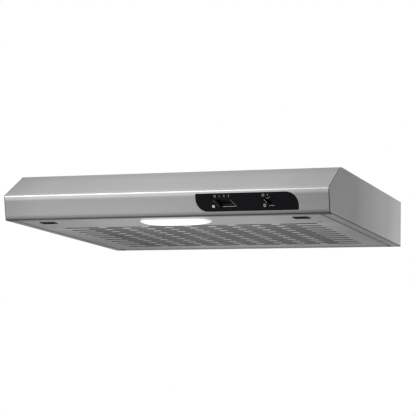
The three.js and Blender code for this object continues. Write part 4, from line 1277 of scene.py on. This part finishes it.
def make_impeller():
    """A moulded centrifugal wheel: a cup round the motor and curved blades between two rims."""
    crown, disc, foot = -12.5, -37.2, HOUSING_FLOOR + HOUSING_WALL + 1.6
    radius, rim, thick = FAN["radius"], FAN["radius"] - 0.6, 1.3
    cup = lathe([(4.3, disc - 1.6), (4.3, disc - 10), (10, disc - 10), (11, disc - 1.6),
                 (46, disc - 1.6), (46, crown - 1.5), (radius, crown - 1.5), (radius, crown),
                 (44.5, crown), (44.5, disc), (4.3, disc)], on_fan, 120)
    ring = lathe([(51, foot), (radius, foot), (radius, foot + 1.6), (51, foot + 1.6)], on_fan, 120)
    blades = []
    for k in range(BLADES):
        outer, inner = [], []
        for share in (step / 8 for step in range(9)):
            reach = BLADE_ROOT + (rim - BLADE_ROOT) * share
            lean = BLADE_LEAN * share ** 1.6 + 2 * pi * k / BLADES
            for side, line in ((0.5, outer), (-0.5, inner)):
                line.append(polar(reach, lean + side * thick / reach))
        blades.append(prism(outer + inner[::-1], foot + 0.8, crown - 0.8, on_fan))
    piece("impeller", join(cup, ring, merged(*blades)), bevel=0)


# ---------------------------------------------------------------- duct collar and flaps
def flap_rod(radius, low, high, chamfer=0.0):
    """A bar along the flaps' axis, between two distances from the duct's middle."""
    return rod(radius, DUCT["x"] + low, DUCT["x"] + high, lying_x(0, DUCT["y"], FLAP_Z), chamfer=chamfer)


def make_duct():
    x, y, radius, wall, rise = DUCT.values()
    base, ledge = TOP + GAP, radius + DUCT_LEDGE
    profile = [(radius - wall, LID_Z + GAP), (radius, LID_Z + GAP), (radius, base), (ledge, base),
               (ledge, base + 1.7), (radius + 1.5, base + 1.7), (radius, base + 3.2),
               (radius, rise - 5.5), (radius - 0.6, rise - 5), (radius - 0.6, rise - 3),
               (radius, rise - 2.5), (radius, rise), (radius - wall, rise)]
    bore = flap_rod(FLAP_BORE, 0.5 - radius, radius - 0.5)
    places = [polar(radius + DUCT_SCREWS, radians(d), x, y) for d in (45, 135, 225, 315)]
    screws = [rod(1.7, base - 1, base + 3, upright(*place), 24) for place in places]
    piece("duct_collar", cut(lathe(profile, upright(x, y), 120), bore, *screws), bevel=0.3)
    piece("flap_pin", flap_rod(FLAP_PIN, 0.8 - radius, radius - 0.8, 0.3), bevel=0)
    make_flap("front", -1, (-40, 12))
    make_flap("rear", 1, (-12, 40))


def make_flap(name, sign, knuckles):
    """A half disc that turns on two knuckles of its own."""
    x, y, radius, wall, _ = DUCT.values()
    reach = radius - wall - 2.5
    start = math.asin(4.2 / reach)
    arc = [polar(reach, sign * (start + (pi - 2 * start) * k / 48)) for k in range(49)]
    disc = prism(arc, -FLAP_HALF, FLAP_HALF, upright(x, y, FLAP_Z))
    low, high = span(2.4, 6, sign)
    parts = []
    for middle in knuckles:
        left, right = middle - KNUCKLE_HALF, middle + KNUCKLE_HALF
        parts += [flap_rod(KNUCKLE_RADIUS, left, right),
                  box(x + left, x + right, y + low, y + high, FLAP_Z - FLAP_HALF, FLAP_Z + FLAP_HALF)]
    piece(f"flap_{name}", cut(join(disc, *parts), flap_rod(FLAP_BORE, -70, 70)), bevel=0.15)


# ---------------------------------------------------------------- electrical parts
def make_terminal_box():
    x0, x1, y0, y1, z0, z1 = TERMINAL.values()
    x, y, half_x, half_y = (x0 + x1) / 2, (y0 + y1) / 2, (x1 - x0) / 2, (y1 - y0) / 2
    wall = TERMINAL_WALL
    tub = cut(slab(x, y, half_x, half_y, 2.5, z0, z1),
              slab(x, y, half_x - wall, half_y - wall, 1, z0 - 2, z1 - wall),
              rod(CABLE_BORE, z1 - 5, z1 + 5, upright(CABLE_X, CABLE_Y)))
    piece("terminal_box", tub, bevel=0.4)
    rims = [rod(3.2, z0 - 3, z0 - 1.5, upright(x + a * (half_x - 7), y)) for a in (-1, 1)]
    cover = cut(slab(x, y, half_x, half_y, 2.5, z0 - wall - GAP, z0 - GAP), *rims)
    piece("terminal_box_cover", cover, bevel=0.4)


def make_grommet():
    profile = [(CABLE_BORE, TOP - 4), (9.2, TOP - 4), (10, TOP - 3.4), (10, CEILING),
               (7.7, CEILING), (7.7, TOP + GAP), (10, TOP + GAP), (9.8, TOP + 1.4),
               (9.2, TOP + 2.5), (8.4, TOP + 3), (CABLE_BORE + 0.8, TOP + 3), (CABLE_BORE, TOP + 2.2)]
    piece("cable_grommet", lathe(profile, upright(CABLE_X, CABLE_Y)), bevel=0)


def make_capacitor():
    x, y, z, radius, length = CAPACITOR.values()
    place = lying_y(x, y - length / 2, z)
    can = lathe([(0, 0), (radius - 2.4, 0), (radius - 0.8, 0.7), (radius, 2.2), (radius, length - 6.5),
                 (radius - 0.7, length - 6.2), (radius - 0.7, length - 5.4), (radius, length - 5),
                 (radius - 0.4, length - 4.4), (radius - 2, length - 5), (0, length - 5)], place, 96)
    end = y + length / 2
    blades = [box(x + a - 0.4, x + a + 0.4, end - 6, end, z - 3, z + 3) for a in (-5, 5)]
    piece("run_capacitor", join(can, *blades), bevel=0)


def make_leads():
    lead_z = (LID_Z + TOP - SHEET) / 2
    hole_x, hole_y = LEAD_HOLE
    end = TERMINAL["y0"] - LEAD_GAP
    lens_x, lens_y = LENS["x"], LENS["y"]
    # Each lead: its radius, and the points that it is laid through.
    routes = {
        "motor_lead": (1.5, [(hole_x, hole_y, LID_Z - 4), (hole_x, hole_y, LID_Z - 1),
                             (hole_x + 2, hole_y - 1, lead_z), (hole_x + 12, hole_y - 6, lead_z),
                             (-20, -30, lead_z), (80, -30, lead_z - 2), (130, 10, -22),
                             (160, 120, -26), (200, 178, -26), (204, end, -26)]),
        "switch_lead": (1.8, [(150, -222, -62), (160, -216, -60), (235, -190, -40), (272, -100, -26),
                              (274, 60, -24), (262, 160, -26), (246, 182, -26), (244, end, -26)]),
        "lamp_lead": (1.5, [(lens_x - 51, lens_y, LAMP_Z), (lens_x - 60, lens_y, LAMP_Z + 1),
                            (lens_x - 82, lens_y + 12, LAMP_Z + 12), (lens_x - 84, lens_y + 44, -20),
                            (40, -146, -14), (200, -140, -16), (256, -60, -20), (256, 110, -20),
                            (228, 178, -26), (226, end, -26)]),
    }
    for name, (radius, knots) in routes.items():
        piece(name, sweep(centripetal(knots, 12), radius, 16), bevel=0)


materials = {name: make(name, *values) for name, (make, *values) in FINISHES.items()}
make_world()
make_camera()
make_lights()
make_floor()
for node in frame["nodes"].values():
    node.data.materials.clear()
    node.data.materials.append(finish_for(node.name))
make_front_panel()
make_control_panel()
make_knob("fan_slider_knob", FAN_SLIDER)
make_knob("light_slider_knob", LIGHT_SLIDER)
make_slider_shield()
make_prints()
make_grille()
make_lens()
for side, sign in SIDES:
    make_side_panel(side, sign)
    make_latch(side, sign * LATCH["x"])
    make_hinge(side, sign)
make_filter()
make_reflector()
make_bulb()
make_lamp_holder()
make_blower_housing()
make_motor()
make_impeller()
make_duct()
make_terminal_box()
make_grommet()
make_capacitor()
make_leads()
for name in ("top_panel", "back_panel", "fan_switch", "light_switch", "switch_bracket", "capacitor_clip"):
    keep_node(name)
